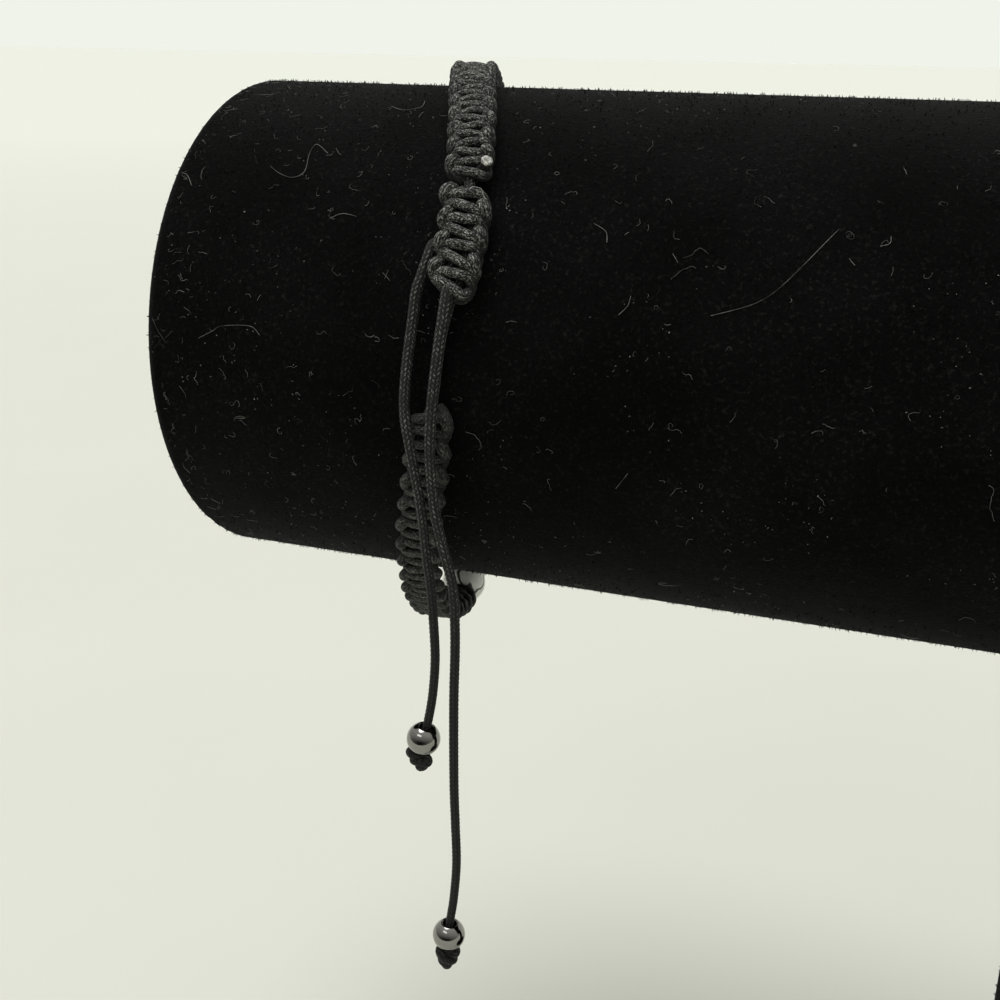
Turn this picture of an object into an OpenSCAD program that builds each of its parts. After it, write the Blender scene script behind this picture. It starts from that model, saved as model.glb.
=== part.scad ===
// Macrame bracelet hung on a velvet display bar.
// The origin is at the middle of the underside of the base. X runs along the bar,
// Z is up, and the front of the bracelet with its slider faces -Y.

/* [Display stand] */
// Length of the bar
bar_len = 240; // [200:1:300]
// Radius of the bar over its velvet
bar_r = 30.8; // [30:0.1:31]
// Rounding of the bar's two rims
bar_rim = 1.6; // [0.5:0.1:4]
// Height of the bar's axis above the table
axis_h = 130; // [110:1:160]
// Diameter of the post
post_d = 30; // [20:1:40]
// Diameter of the base
base_d = 90; // [80:1:130]
// Thickness of the base
base_t = 12; // [8:1:20]

/* [Cord] */
// Diameter of the braided cord
cord_d = 1.2; // [1:0.05:1.3]

/* [Knotted bands] */
// Width of a band over its side loops
band_w = 5.2; // [4.6:0.1:5.2]
// Thickness of a band
band_t = 2.8; // [2.2:0.1:2.8]
// Length of one square knot in the upper band
upper_knot_len = 2.7; // [2.5:0.05:2.7]
// Square knots in the upper band
upper_knots = 21; // [15:1:21]
// Length of one square knot in the lower band
lower_knot_len = 3.05; // [2.7:0.05:3.05]
// Square knots in the lower band
lower_knots = 18; // [13:1:18]

/* [Slider] */
// Width of the slider
slider_w = 5.6; // [4.8:0.1:5.8]
// Thickness of the slider
slider_t = 3.3; // [2.8:0.1:3.4]
// Length of one square knot in the slider
slider_knot_len = 2.85; // [2.6:0.05:2.85]
// Square knots in the slider
slider_knots = 4; // [3:1:4]

/* [Beads] */
// Diameter of a stone bead
stone_d = 6.1; // [5.4:0.1:6.2]
// Diameter of the hole through a stone bead
stone_bore = 1.8; // [1.7:0.1:2]
// Number of stone beads
stones = 13; // [8:1:13]
// Diameter of the metal bead on each tail
tail_bead_d = 3.9; // [3.5:0.1:3.9]
// Diameter of the hole through a metal bead
tail_bead_bore = 1.7; // [1.6:0.05:2]
// Diameter of the overhand knot under each metal bead
end_knot_d = 2.9; // [2.2:0.1:3]

/* [Hidden] */
$fn = 48;

velvet = [0.03, 0.03, 0.035];
charcoal = [0.13, 0.13, 0.13];
howlite = [0.92, 0.92, 0.9];
gunmetal = [0.42, 0.41, 0.4];

// Gap between neighbouring pieces
gap = 0.12;

// The bracelet's loop round the bar. Angles run from the front of the bar over its
// top and down its back, and the rows are evenly spaced round the full turn.
// Columns: distance from the bar's axis, distance from the bar's left end.
LOOP = [
    [32.4, 37.4], [32.3, 38.8], [32.3, 38.9], [32.3, 37.5], [32.3, 35.2], [32.3, 32.1],
    [32.3, 29.2], [32.3, 26.8], [32.5, 24.9], [33.5, 23.6], [34.3, 22.6], [34.2, 22.2],
    [34.2, 21.8], [34.4, 21.9], [35.1, 22.4], [36.1, 23.2], [37.0, 24.4], [37.5, 25.9],
    [37.2, 27.6], [36.2, 29.3], [35.4, 31.0], [34.6, 32.6], [33.5, 34.2], [32.6, 36.1]];
loop_step = 360 / len(LOOP);

// Angles on the loop where the upper band starts, the slider ends and the lower band ends
upper_band_a = 42.2;
slider_foot_a = 19.2;
lower_band_a = 357.6;

// Routes of the bare cords. Columns: distance from the bar's left end, then Y and Z
// from the bar's axis.
CORE_RUN = [
    [38.1, -29.9, 10.1], [37.6, -30.8, 7.2], [37.3, -31.4, 4.2], [37.1, -31.8, 1.3],
    [37.0, -32.3, -1.1]];
TAIL_A = [
    [38.4, -31.9, 10.9], [38.4, -32.8, 8.6], [38.3, -33.7, 5.7], [38.1, -34.3, 2.4],
    [37.9, -34.7, -1.0], [37.8, -34.9, -4.6], [38.0, -34.9, -8.5], [38.5, -34.9, -12.4],
    [39.1, -34.9, -15.0], [39.9, -34.9, -17.9], [40.5, -34.9, -20.2], [40.8, -34.9, -23.4],
    [40.9, -34.9, -28.0], [40.8, -34.9, -34.6], [40.9, -34.9, -44.8], [41.1, -34.9, -50.0],
    [41.3, -34.9, -55.6], [41.0, -34.9, -60.5], [40.6, -34.9, -63.6], [40.4, -34.9, -65.9],
    [40.3, -34.9, -67.9]];
TAIL_B = [
    [35.4, -28.4, 15.4], [35.2, -29.2, 14.2], [34.8, -29.9, 12.4], [34.4, -30.5, 10.6],
    [34.3, -31.2, 7.8], [34.2, -32.1, 4.7], [34.3, -33.2, 1.7], [34.5, -34.0, -0.7],
    [35.0, -34.7, -2.8], [35.5, -34.9, -5.0], [36.0, -34.9, -7.7], [36.5, -34.9, -10.2],
    [37.0, -34.9, -13.4], [37.5, -34.9, -17.9], [38.0, -34.9, -21.5], [38.4, -34.9, -26.6],
    [38.5, -34.9, -30.0], [38.2, -34.9, -34.2], [37.6, -34.9, -37.8], [37.1, -34.9, -39.9],
    [36.6, -34.9, -41.9]];

// Rings of a cord for each stretch between two route points
cord_rings = 1.4;
cord_sides = 8;
band_sides = 12;
// Rings of a sinnet for each square knot
knot_rings = 8;

// Heights of a band's side loops and crossbars, and the length of its rounded ends
side_bump = 0.4;
bar_bump = 0.25;
end_round = 0.7;
// Share of a band's section that its very end has lost, and how square the section is:
// 1 is an ellipse, and less is squarer
end_loss = 0.6;
corner = 0.75;

// Burnt end of the working cord: how far it stands from the band's end, how far to the
// right of the band's middle and out from it, how much it leans to the right, and its height
melt_along = 1.2;
melt_right = 2;
melt_out = 1.15;
melt_lean = 0.5;
melt_h = 0.7;
// Length of the cut end that shows under an end knot
cut_end = 0.5;
// A direction that no cord follows, from which the rings of a cord are turned
ring_ref = [0.31, 0.95, 0.1];

// Whole rows before and after row i, as the loop is closed
function loop_at(i) = LOOP[(i % len(LOOP) + len(LOOP)) % len(LOOP)];
// Smooth curve through four values, t running from the second to the third
function blend4(p, t) = 0.5 * (2 * p[1] + (p[2] - p[0]) * t
    + (2 * p[0] - 5 * p[1] + 4 * p[2] - p[3]) * t * t
    + (3 * p[1] - p[0] - 3 * p[2] + p[3]) * t * t * t);
function loop_row(a) = let (i = floor(a / loop_step))
    blend4([for (k = [-1:2]) loop_at(i + k)], a / loop_step - i);
function loop_point(a) = let (row = loop_row(a)) [row[1], -row[0] * cos(a), row[0] * sin(a)];

// Length along the loop against angle, and back
arc_step = 3;
ARC = [for (a = 0, s = 0; a <= 360;
    s = s + norm(loop_point(a + arc_step) - loop_point(a)), a = a + arc_step) [a, s]];
ANGLE = [for (row = ARC) [row[1], row[0]]];
function length_at(a) = lookup(a, ARC);
function angle_at(s) = lookup(s, ANGLE);

function unit(v) = v / norm(v);
// Position and the along, outward and sideways directions at length s of the loop
function loop_frame(s) = let (
    a = angle_at(s),
    p = loop_point(a),
    along = unit(loop_point(a + 1) - loop_point(a - 1)),
    side = unit(cross(along, [0, p[1], p[2]])),
    out = cross(side, along)) [p, along, out, side];

upper_len = upper_knots * upper_knot_len;
lower_len = lower_knots * lower_knot_len;
slider_len = slider_knots * slider_knot_len;
upper_band_s = length_at(upper_band_a);
lower_band_s = length_at(lower_band_a) - lower_len;
slider_s = length_at(slider_foot_a);
stones_s = upper_band_s + upper_len;
stone_pitch = (lower_band_s - stones_s) / stones;

// Distance of an outline from the middle, squared off a little at the corners
function squared(v) = sign(v) * pow(abs(v), corner);
// Height of a row of bumps that repeats every pitch
function bumps(s, pitch, height) = height * abs(sin(180 * s / pitch));
function rounded_end(s, total) = let (d = min(s, total - s) / end_round)
    d >= 1 ? 1 : sqrt(1 - pow(1 - d, 2) * end_loss);

// A sinnet of square knots along the loop from length s0: on each side one loop stands
// out for every square knot, half a knot further on for the other side, and each square
// knot has two crossbars on the front and two on the back. The first loop is a left one,
// or with right_first a right one.
module sinnet(s0, knots, pitch, w, t, lift = 0, right_first = false) {
    total = knots * pitch;
    rings = knots * knot_rings;
    points = [for (k = [0:rings])
        let (s = total * k / rings, f = loop_frame(s0 + s), e = rounded_end(s, total),
             turn = right_first ? pitch / 2 : 0,
             left = w / 2 - side_bump + bumps(s + turn, pitch, side_bump),
             right = w / 2 - side_bump + bumps(s + turn + pitch / 2, pitch, side_bump),
             thick = t / 2 - bar_bump + bumps(s, pitch / 2, bar_bump))
        for (j = [0:band_sides - 1])
        let (q = 360 * (j + 0.5) / band_sides, c = cos(q))
        f[0] + f[2] * (lift + e * thick * squared(sin(q)))
             + f[3] * e * (c > 0 ? right : left) * squared(c)];
    swept(points, rings + 1, band_sides);
}

// Closed skin over equal rings of points
module swept(points, rings, sides) {
    walls = [for (k = [0:rings - 2], j = [0:sides - 1])
        let (a = k * sides + j, b = k * sides + (j + 1) % sides)
        each [[a, b, b + sides], [a, b + sides, a + sides]]];
    foot = [[for (j = [sides - 1:-1:0]) j]];
    head = [[for (j = [0:sides - 1]) (rings - 1) * sides + j]];
    polyhedron(points = points, faces = concat(walls, foot, head), convexity = 6);
}

// Smooth route through hand-placed points, the first and last being its ends
function route_at(pts, i) = pts[max(0, min(len(pts) - 1, i))];
function route(pts, per) = let (last = len(pts) - 1, n = round(last * per))
    [for (k = [0:n]) let (u = last * k / n, i = min(floor(u), last - 1))
        blend4([for (m = [-1:2]) route_at(pts, i + m)], u - i)];

// Round cord along the points of a path
module cord(path, d) {
    n = len(path);
    points = [for (k = [0:n - 1])
        let (along = unit(path[min(k + 1, n - 1)] - path[max(k - 1, 0)]),
             side = unit(cross(along, ring_ref)),
             out = cross(side, along))
        for (j = [0:cord_sides - 1]) let (q = -360 * j / cord_sides)
        path[k] + d / 2 * (cos(q) * side + sin(q) * out)];
    swept(points, n, cord_sides);
}

// Places a child whose own axis is Z at point p, pointing along v
module aim(p, v) {
    u = unit(v);
    translate(p) rotate([0, acos(u[2]), atan2(u[1], u[0])]) children();
}

module drilled_bead(d, bore) {
    difference() {
        sphere(d = d);
        cylinder(d = bore, h = 2 * d, center = true);
    }
}

// Everything on the bar is measured from the left end of the bar's axis
module on_bar() {
    translate([-bar_len / 2, 0, axis_h]) children();
}

module display_bar() {
    color(velvet) on_bar() rotate([0, 90, 0]) rotate_extrude() union() {
        translate([0, bar_rim]) square([bar_r, bar_len - 2 * bar_rim]);
        square([bar_r - bar_rim, bar_len]);
        translate([bar_r - bar_rim, bar_rim]) circle(r = bar_rim);
        translate([bar_r - bar_rim, bar_len - bar_rim]) circle(r = bar_rim);
    }
}

module display_post() {
    color(velvet) difference() {
        translate([0, 0, base_t + gap]) cylinder(d = post_d, h = axis_h - base_t - bar_r / 2);
        translate([-bar_len / 2, 0, axis_h]) rotate([0, 90, 0]) cylinder(r = bar_r + gap, h = bar_len);
    }
}

module display_base() {
    rim = base_t / 4;
    color(velvet) rotate_extrude() union() {
        square([base_d / 2, base_t - rim]);
        square([base_d / 2 - rim, base_t]);
        translate([base_d / 2 - rim, base_t - rim]) circle(r = rim);
    }
}

module upper_band() {
    color(charcoal) on_bar() sinnet(upper_band_s, upper_knots, upper_knot_len, band_w, band_t);
}

module lower_band() {
    color(charcoal) on_bar()
        sinnet(lower_band_s, lower_knots, lower_knot_len, band_w, band_t, right_first = true);
}

// The slider is thicker than the bands, as it holds two cords, and rises off the bar
module slider_knot() {
    color(charcoal) on_bar()
        sinnet(slider_s, slider_knots, slider_knot_len, slider_w, slider_t, (slider_t - band_t) / 2);
}

// Stands on the front of the upper band at its lower right corner
module melted_end() {
    f = loop_frame(upper_band_s + melt_along);
    foot = f[0] + f[3] * melt_right + f[2] * melt_out;
    color(charcoal) on_bar() aim(foot, f[2] + f[3] * melt_lean) cylinder(d = cord_d, h = melt_h);
}

module core_top() {
    from = slider_s + slider_len + gap;
    color(charcoal) on_bar() cord([for (s = [from, upper_band_s - gap]) loop_frame(s)[0]], cord_d);
}

module core_run() {
    color(charcoal) on_bar() cord(route(CORE_RUN, cord_rings), cord_d);
}

// Where the thread bends between two stone beads: the holes are straight, so these
// points lie a little outside the loop, and the middles of the beads on it
function thread_joint(i) = let (
    f = loop_frame(stones_s + stone_pitch * i),
    r = norm([f[0][1], f[0][2]]))
    f[0] + f[2] * (r / cos(stone_pitch / r * 90 / PI) - r);

module bead_thread() {
    top = loop_frame(stones_s + gap)[0];
    foot = loop_frame(lower_band_s - gap)[0];
    color(charcoal) on_bar()
        cord(concat([top], [for (i = [1:stones - 1]) thread_joint(i)], [foot]), cord_d);
}

module howlite_bead(i) {
    before = i == 1 ? loop_frame(stones_s)[0] : thread_joint(i - 1);
    after = i == stones ? loop_frame(lower_band_s)[0] : thread_joint(i);
    color(howlite) on_bar() aim((before + after) / 2, after - before)
        drilled_bead(min(stone_d, stone_pitch - gap), stone_bore);
}

// A tail's bead is threaded where its route passes route point i
module tail_bead(pts, i) {
    color(gunmetal) on_bar() aim(pts[i], pts[i + 1] - pts[i - 1])
        drilled_bead(tail_bead_d, tail_bead_bore);
}

// Overhand knot at the end of a tail, with the short cut end below it
module end_knot(pts) {
    last = pts[len(pts) - 1];
    down = unit(last - pts[len(pts) - 2]);
    color(charcoal) on_bar() aim(last + down * (end_knot_d / 2 + gap / 2), down) {
        sphere(d = end_knot_d);
        cylinder(d = cord_d, h = end_knot_d / 2 + cut_end);
    }
}

module tail_a_cord() {
    color(charcoal) on_bar() cord(route(TAIL_A, cord_rings), cord_d);
}

module tail_a_bead() {
    tail_bead(TAIL_A, len(TAIL_A) - 2);
}

module tail_a_knot() {
    end_knot(TAIL_A);
}

module tail_b_cord() {
    color(charcoal) on_bar() cord(route(TAIL_B, cord_rings), cord_d);
}

module tail_b_bead() {
    tail_bead(TAIL_B, len(TAIL_B) - 2);
}

module tail_b_knot() {
    end_knot(TAIL_B);
}

display_bar();
display_post();
display_base();
upper_band();
lower_band();
slider_knot();
melted_end();
core_top();
core_run();
bead_thread();
for (i = [1:stones]) howlite_bead(i);
tail_a_cord();
tail_a_bead();
tail_a_knot();
tail_b_cord();
tail_b_bead();
tail_b_knot();
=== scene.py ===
# %% [markdown]
# Macrame bracelet on its display bar.
# The bracelet is tied from black braided nylon cord. Two flat bands of square knots hold a
# row of white veined stone beads between them, and a slider of four loose square knots
# closes the loop, with two tails that end in small metal beads. It hangs on a bar covered
# in black velvet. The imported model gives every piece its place, and this script dresses it.

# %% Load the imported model
from math import atan2, ceil, cos, floor, pi, radians, sin, sqrt
import bmesh
import bpy
from mathutils import Euler, Matrix, Vector
from mathutils.bvhtree import BVHTree
from random import Random


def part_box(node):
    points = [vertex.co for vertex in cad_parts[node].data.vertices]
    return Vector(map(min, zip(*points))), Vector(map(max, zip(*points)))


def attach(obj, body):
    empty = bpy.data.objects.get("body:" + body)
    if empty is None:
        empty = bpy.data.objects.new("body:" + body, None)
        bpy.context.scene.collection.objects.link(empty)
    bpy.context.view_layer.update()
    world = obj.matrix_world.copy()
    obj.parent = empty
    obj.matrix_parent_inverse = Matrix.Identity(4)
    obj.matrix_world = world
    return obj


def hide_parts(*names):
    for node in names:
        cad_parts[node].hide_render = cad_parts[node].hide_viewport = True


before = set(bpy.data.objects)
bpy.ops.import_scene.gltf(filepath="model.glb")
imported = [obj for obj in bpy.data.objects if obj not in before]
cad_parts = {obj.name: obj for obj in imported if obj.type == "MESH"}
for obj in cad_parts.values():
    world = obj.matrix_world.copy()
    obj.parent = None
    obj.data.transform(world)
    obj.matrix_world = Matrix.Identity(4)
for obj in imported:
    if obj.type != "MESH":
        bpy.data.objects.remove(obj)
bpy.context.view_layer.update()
MM = 0.001

# %% [markdown]
# The camera comes first, as everything after it is judged through it. The photograph looks
# at the left end of the bar from its front, a little from above and from the right, so the
# camera is turned to the left and tipped down, and rolled by a degree.

# %% Camera at the photograph's angle
CAMERA_PLACE = Vector((-31.2, -156.9, 165.1)) * MM
CAMERA_TIP = radians(19.1)
CAMERA_TURN = radians(19.4)
CAMERA_ROLL = radians(1.14)

camera_data = bpy.data.cameras.new("photo_camera")
camera_data.sensor_width = 36
camera_data.lens = 46.8
camera_data.clip_start = 0.005
camera = bpy.data.objects.new("photo_camera", camera_data)
bpy.context.scene.collection.objects.link(camera)
camera_turn = Euler((pi / 2 - CAMERA_TIP, 0, CAMERA_TURN)).to_matrix()
camera_turn = camera_turn @ Matrix.Rotation(CAMERA_ROLL, 3, "Z")
camera.matrix_world = Matrix.Translation(CAMERA_PLACE) @ camera_turn.to_4x4()
bpy.context.scene.camera = camera
print("camera looks along", [round(v, 3) for v in camera_turn @ Vector((0, 0, -1))])

# %% [markdown]
# Shaders and Geometry Nodes are both trees of nodes. One helper adds a node to either kind:
# first its settings, then what goes into its inputs, in their order or by name. Colours are
# picked as sRGB hex values, as in a paint program, and one function makes them linear. The
# last helper puts a finished mesh into the scene as an object that sits at the origin.

# %% Helpers for nodes and colours
def add(tree, kind, *values, sockets=None, **settings):
    """Adds a node with its settings, and fills its inputs in their order or by name."""
    node = tree.nodes.new(kind)
    for name, value in settings.items():
        setattr(node, name, value)
    shown = [socket for socket in node.inputs if socket.enabled]
    pairs = list(zip(shown, values))
    for name, value in (sockets or {}).items():
        pairs.append((next(socket for socket in shown if socket.name == name), value))
    for socket, value in pairs:
        if isinstance(value, bpy.types.Node):
            value = next(output for output in value.outputs if output.enabled)
        if isinstance(value, bpy.types.NodeSocket):
            tree.links.new(value, socket)
        elif value is not None:
            socket.default_value = value
    return node


def feed(tree, shader, name, node):
    """Links a node's first output to a named input."""
    tree.links.new(next(output for output in node.outputs if output.enabled), shader.inputs[name])


def srgb(code):
    parts = [int(code[i:i + 2], 16) / 255 for i in (1, 3, 5)]
    return [p / 12.92 if p <= 0.04045 else ((p + 0.055) / 1.055) ** 2.4 for p in parts] + [1]


def set_stops(ramp_node, *stops):
    """Places the two stops of a colour ramp."""
    for stop, (position, colour) in zip(ramp_node.color_ramp.elements, stops):
        stop.position = position
        stop.color = srgb(colour)


def new_material(name, everywhere):
    """A material, its tree and its shader, with the sockets that are the same all over."""
    material = bpy.data.materials.new(name)
    material.use_nodes = True
    shader = material.node_tree.nodes["Principled BSDF"]
    for socket, value in everywhere.items():
        shader.inputs[socket].default_value = value
    return material, material.node_tree, shader


def new_piece(name, data):
    piece = bpy.data.objects.new(name, data)
    bpy.context.scene.collection.objects.link(piece)
    return piece


print("mid grey is", [round(v, 3) for v in srgb("#808080")])

# %% [markdown]
# The cord is a tubular braid: eight columns of strands stand round it, and neighbouring
# columns lean opposite ways. The height of that pattern is worked out from the turn round
# the cord and the distance along it. The same few nodes serve twice, in Geometry Nodes to
# raise the strands of the tails, and in the material to colour them.

# %% The braid pattern
CORD_D = 1.2 * MM
BRAID_COLUMNS = 8
BRAID_PICK = 0.55 * MM
BRAID_LEAN = 0.85


def braid_pattern(tree, around, along):
    """Height of the strands, 0 to 1, and a vector that is different for every strand."""
    turn = add(tree, "ShaderNodeMath", around, BRAID_COLUMNS, operation="MULTIPLY")
    column = add(tree, "ShaderNodeMath", turn, operation="FLOOR")
    odd = add(tree, "ShaderNodeMath", column, 2, operation="FLOORED_MODULO")
    lean = add(tree, "ShaderNodeMath", odd, 2 * BRAID_LEAN, -BRAID_LEAN, operation="MULTIPLY_ADD")
    across = add(tree, "ShaderNodeMath", turn, column, operation="SUBTRACT")
    across = add(tree, "ShaderNodeMath", across, 0.5, operation="SUBTRACT")
    pick = add(tree, "ShaderNodeMath", along, BRAID_PICK, operation="DIVIDE")
    pick = add(tree, "ShaderNodeMath", across, lean, pick, operation="MULTIPLY_ADD")
    pick = add(tree, "ShaderNodeMath", odd, 0.5, pick, operation="MULTIPLY_ADD")
    strand = add(tree, "ShaderNodeMath", pick, operation="FLOOR")
    place = add(tree, "ShaderNodeMath", pick, strand, operation="SUBTRACT")
    place = add(tree, "ShaderNodeMath", place, 0.5, operation="SUBTRACT")
    height = None
    for coordinate in (across, place):
        square = add(tree, "ShaderNodeMath", coordinate, coordinate, operation="MULTIPLY")
        dome = add(tree, "ShaderNodeMath", square, -4.0, 1.0, operation="MULTIPLY_ADD")
        height = dome if height is None else add(tree, "ShaderNodeMath", height, dome, operation="MULTIPLY")
    return height, add(tree, "ShaderNodeCombineXYZ", column, strand, 0)


print("columns are", round(CORD_D / MM * pi / BRAID_COLUMNS, 2), "mm wide")

# %% [markdown]
# Braided nylon is matt. Its strands are charcoal, and each strand's crown carries a painted
# highlight: a grey fleck, brighter on some strands than on others, and streaked by the fine
# filaments that run along the cord. Between the crowns painted shade makes it nearly black.
# The pattern reads the attribute "braid", which every cord's mesh carries: the cosine and
# sine of the turn round the cord, and the distance along it. In a knot the braid is squeezed
# and stretched, so the strands stray from the pattern there and the streaks are plainer than
# the flecks.
# Painted light and shade decide where the flecks show. On the knots the painted highlights
# stay where the surface looks out of the front of the band, and painted shade dims them on
# the sides and deeper in the band; the attribute "crown" tells how far out of the band a
# place looks.
# The hanging ends get painted shade: down each tail the flecks fade and the strands turn a
# smooth dark. The lower band lies under the tails and is a shaded copy of the knotted cord:
# its painted highlights are dim and its strands a plain charcoal.

# %% Charcoal braided nylon
# Along a tail, from its top, where painted shade fades its flecks
TAIL_SHADE_FROM_TO = (28 * MM, 42 * MM)
# How far out a knot's surface looks where its flecks go from painted shade to full highlight
CROWN_LIGHT_FROM_TO = (0.35, 0.95)
# What painted shade leaves of the flecks, on the knots and down the tails
FLECKS_LEFT_IN_SHADE = 0.12
# A filament of nylon is far too fine to show, so these are the sizes of a tuft of them
TUFT_WIDTH, TUFT_LENGTH = 0.13 * MM, 0.18 * MM
# Most of a noise texture's values lie between these
NOISE_LOW, NOISE_HIGH = 0.34, 0.66
STRAY_SIZE = 0.6 * MM
STREAK_DEPTH = 0.35


def braided_nylon(name, gap, strand, fleck, evenness, plainness, slack, low, high, knotted):
    """Evenness is how alike the flecks are, plainness how much the braid shows.

    Slack is how far strands stray, in their widths. Between low and high, a fleck's shine
    takes it from the body's colour to its own: the fleck is a painted highlight, and the gap
    colour a painted shade between the strands. Knotted cord keeps its painted highlights where
    it looks out of the band and gets painted shade elsewhere; a tail gets painted shade towards
    its lower end.
    """
    material, tree, shader = new_material(name, {
        "Roughness": 0.7, "Specular IOR Level": 0.3, "Sheen Weight": 0.03, "Sheen Roughness": 0.5})
    braid = add(tree, "ShaderNodeAttribute", attribute_name="braid")
    parts = add(tree, "ShaderNodeSeparateXYZ", braid.outputs["Vector"])
    angle = add(tree, "ShaderNodeMath", parts.outputs["Y"], parts.outputs["X"], operation="ARCTAN2")
    around = add(tree, "ShaderNodeMath", angle, 1 / (2 * pi), 0.5, operation="MULTIPLY_ADD")
    place = add(tree, "ShaderNodeTexCoord")
    stray = add(tree, "ShaderNodeTexNoise", place.outputs["Object"],
                sockets={"Scale": 1 / STRAY_SIZE, "Detail": 1})
    stray = add(tree, "ShaderNodeSeparateXYZ", stray.outputs["Color"])
    # Noise strays about a sixth each way from its middle, so six times that is one width
    around = add(tree, "ShaderNodeMath", stray.outputs["X"], 6 * slack / BRAID_COLUMNS, around,
                 operation="MULTIPLY_ADD")
    along = add(tree, "ShaderNodeMath", stray.outputs["Y"], 6 * slack * BRAID_PICK,
                parts.outputs["Z"], operation="MULTIPLY_ADD")
    height, strand_key = braid_pattern(tree, around, along)
    tufts = (CORD_D / 2 / TUFT_WIDTH, CORD_D / 2 / TUFT_WIDTH, 1 / TUFT_LENGTH)
    tufts = add(tree, "ShaderNodeVectorMath", braid.outputs["Vector"], tufts, operation="MULTIPLY")
    tufts = add(tree, "ShaderNodeTexNoise", tufts, sockets={"Scale": 1.0, "Detail": 2})
    streak = add(tree, "ShaderNodeMapRange", tufts.outputs["Fac"], NOISE_LOW, NOISE_HIGH,
                 evenness - STREAK_DEPTH, 1.0)
    chance = add(tree, "ShaderNodeTexWhiteNoise", strand_key)
    crown = add(tree, "ShaderNodeMath", chance.outputs["Value"], 1 - evenness, evenness,
                operation="MULTIPLY_ADD")
    crown = add(tree, "ShaderNodeMath", crown, height, operation="MULTIPLY")
    crown = add(tree, "ShaderNodeMath", crown, plainness, 1 - plainness, operation="MULTIPLY_ADD")
    shine = add(tree, "ShaderNodeMath", crown, streak, operation="MULTIPLY")
    share = add(tree, "ShaderNodeMapRange", shine, low, high, 0.0, 1.0)
    # Painted light and shade: flecks stay where a knot looks out of the band, and fade down a tail
    if knotted:
        crown = add(tree, "ShaderNodeAttribute", attribute_name="crown")
        painted_light = add(tree, "ShaderNodeMapRange", crown.outputs["Fac"], *CROWN_LIGHT_FROM_TO, FLECKS_LEFT_IN_SHADE, 1.0)
    else:
        painted_light = add(tree, "ShaderNodeMapRange", parts.outputs["Z"], *TAIL_SHADE_FROM_TO, 1.0, FLECKS_LEFT_IN_SHADE)
    share = add(tree, "ShaderNodeMath", share, painted_light, operation="MULTIPLY")
    # Painted shade: the gap colour darkens the cord where the strands' height is low, between their crowns
    body = add(tree, "ShaderNodeMix", height, srgb(gap), srgb(strand), data_type="RGBA")
    # Painted highlight: the fleck colour lights the strands' crowns
    lit = add(tree, "ShaderNodeMix", share, body, srgb(fleck), data_type="RGBA")
    feed(tree, shader, "Base Color", lit)
    relief = add(tree, "ShaderNodeMath", tufts.outputs["Fac"], 0.5, height, operation="MULTIPLY_ADD")
    bump = add(tree, "ShaderNodeBump", sockets={"Height": relief, "Strength": 0.6, "Distance": 0.08 * MM})
    feed(tree, shader, "Normal", bump)
    return material


KNOTTED = {"evenness": 0.35, "plainness": 0.55, "slack": 0.3, "knotted": True}
nylon = braided_nylon("charcoal_braided_nylon", "#0b0b0b", "#242423", "#7f7e79", evenness=0.55,
                      plainness=1.0, slack=0.0, low=0.3, high=0.85, knotted=False)
knotted_nylon = braided_nylon("knotted_braided_nylon", "#030303", "#0e0e0e", "#bab9b2", low=0.27,
                              high=0.95, **KNOTTED)
# The lower band's copy is dimmer and darker: painted shade, as it lies under the tails
shaded_nylon = braided_nylon("unworn_knotted_nylon", "#040404", "#191918", "#6c6b66", low=0.2,
                             high=0.9, **KNOTTED)
print("made", nylon.name, knotted_nylon.name, "and", shaded_nylon.name)

# %% [markdown]
# A tube along a route is a Geometry Nodes job: Curve to Mesh sweeps a circle along the
# route. The tree stores the attribute "braid" that the material reads, and raises the
# strands by the same pattern. Its input is a chain of edges, one for each stretch of the
# route, and a vertex may carry "thick", the cord's thickness there.

# %% A Geometry Nodes tree for braided cord
SOCKETS = {"length": "NodeSocketFloat", "count": "NodeSocketInt", "object": "NodeSocketObject",
           "material": "NodeSocketMaterial", "mesh": "NodeSocketGeometry", "vector": "NodeSocketVector"}


def new_tree(name, **inputs):
    """A tree, the sockets of its inputs, which are given as name=kind, and its output."""
    tree = bpy.data.node_groups.new(name, "GeometryNodeTree")
    tree.interface.new_socket("Geometry", in_out="OUTPUT", socket_type=SOCKETS["mesh"])
    tree.interface.new_socket("Geometry", in_out="INPUT", socket_type=SOCKETS["mesh"])
    for title, kind in inputs.items():
        tree.interface.new_socket(title.replace("_", " "), in_out="INPUT", socket_type=SOCKETS[kind])
    return tree, add(tree, "NodeGroupInput").outputs, add(tree, "NodeGroupOutput")


def finish_tree(tree, mesh, material, end):
    """Makes instances real, smooths their shading and gives them their material."""
    real = add(tree, "GeometryNodeRealizeInstances", mesh)
    smooth = add(tree, "GeometryNodeSetShadeSmooth", real)
    coated = add(tree, "GeometryNodeSetMaterial", smooth, sockets={"Material": material})
    tree.links.new(coated.outputs[0], end.inputs[0])


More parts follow.
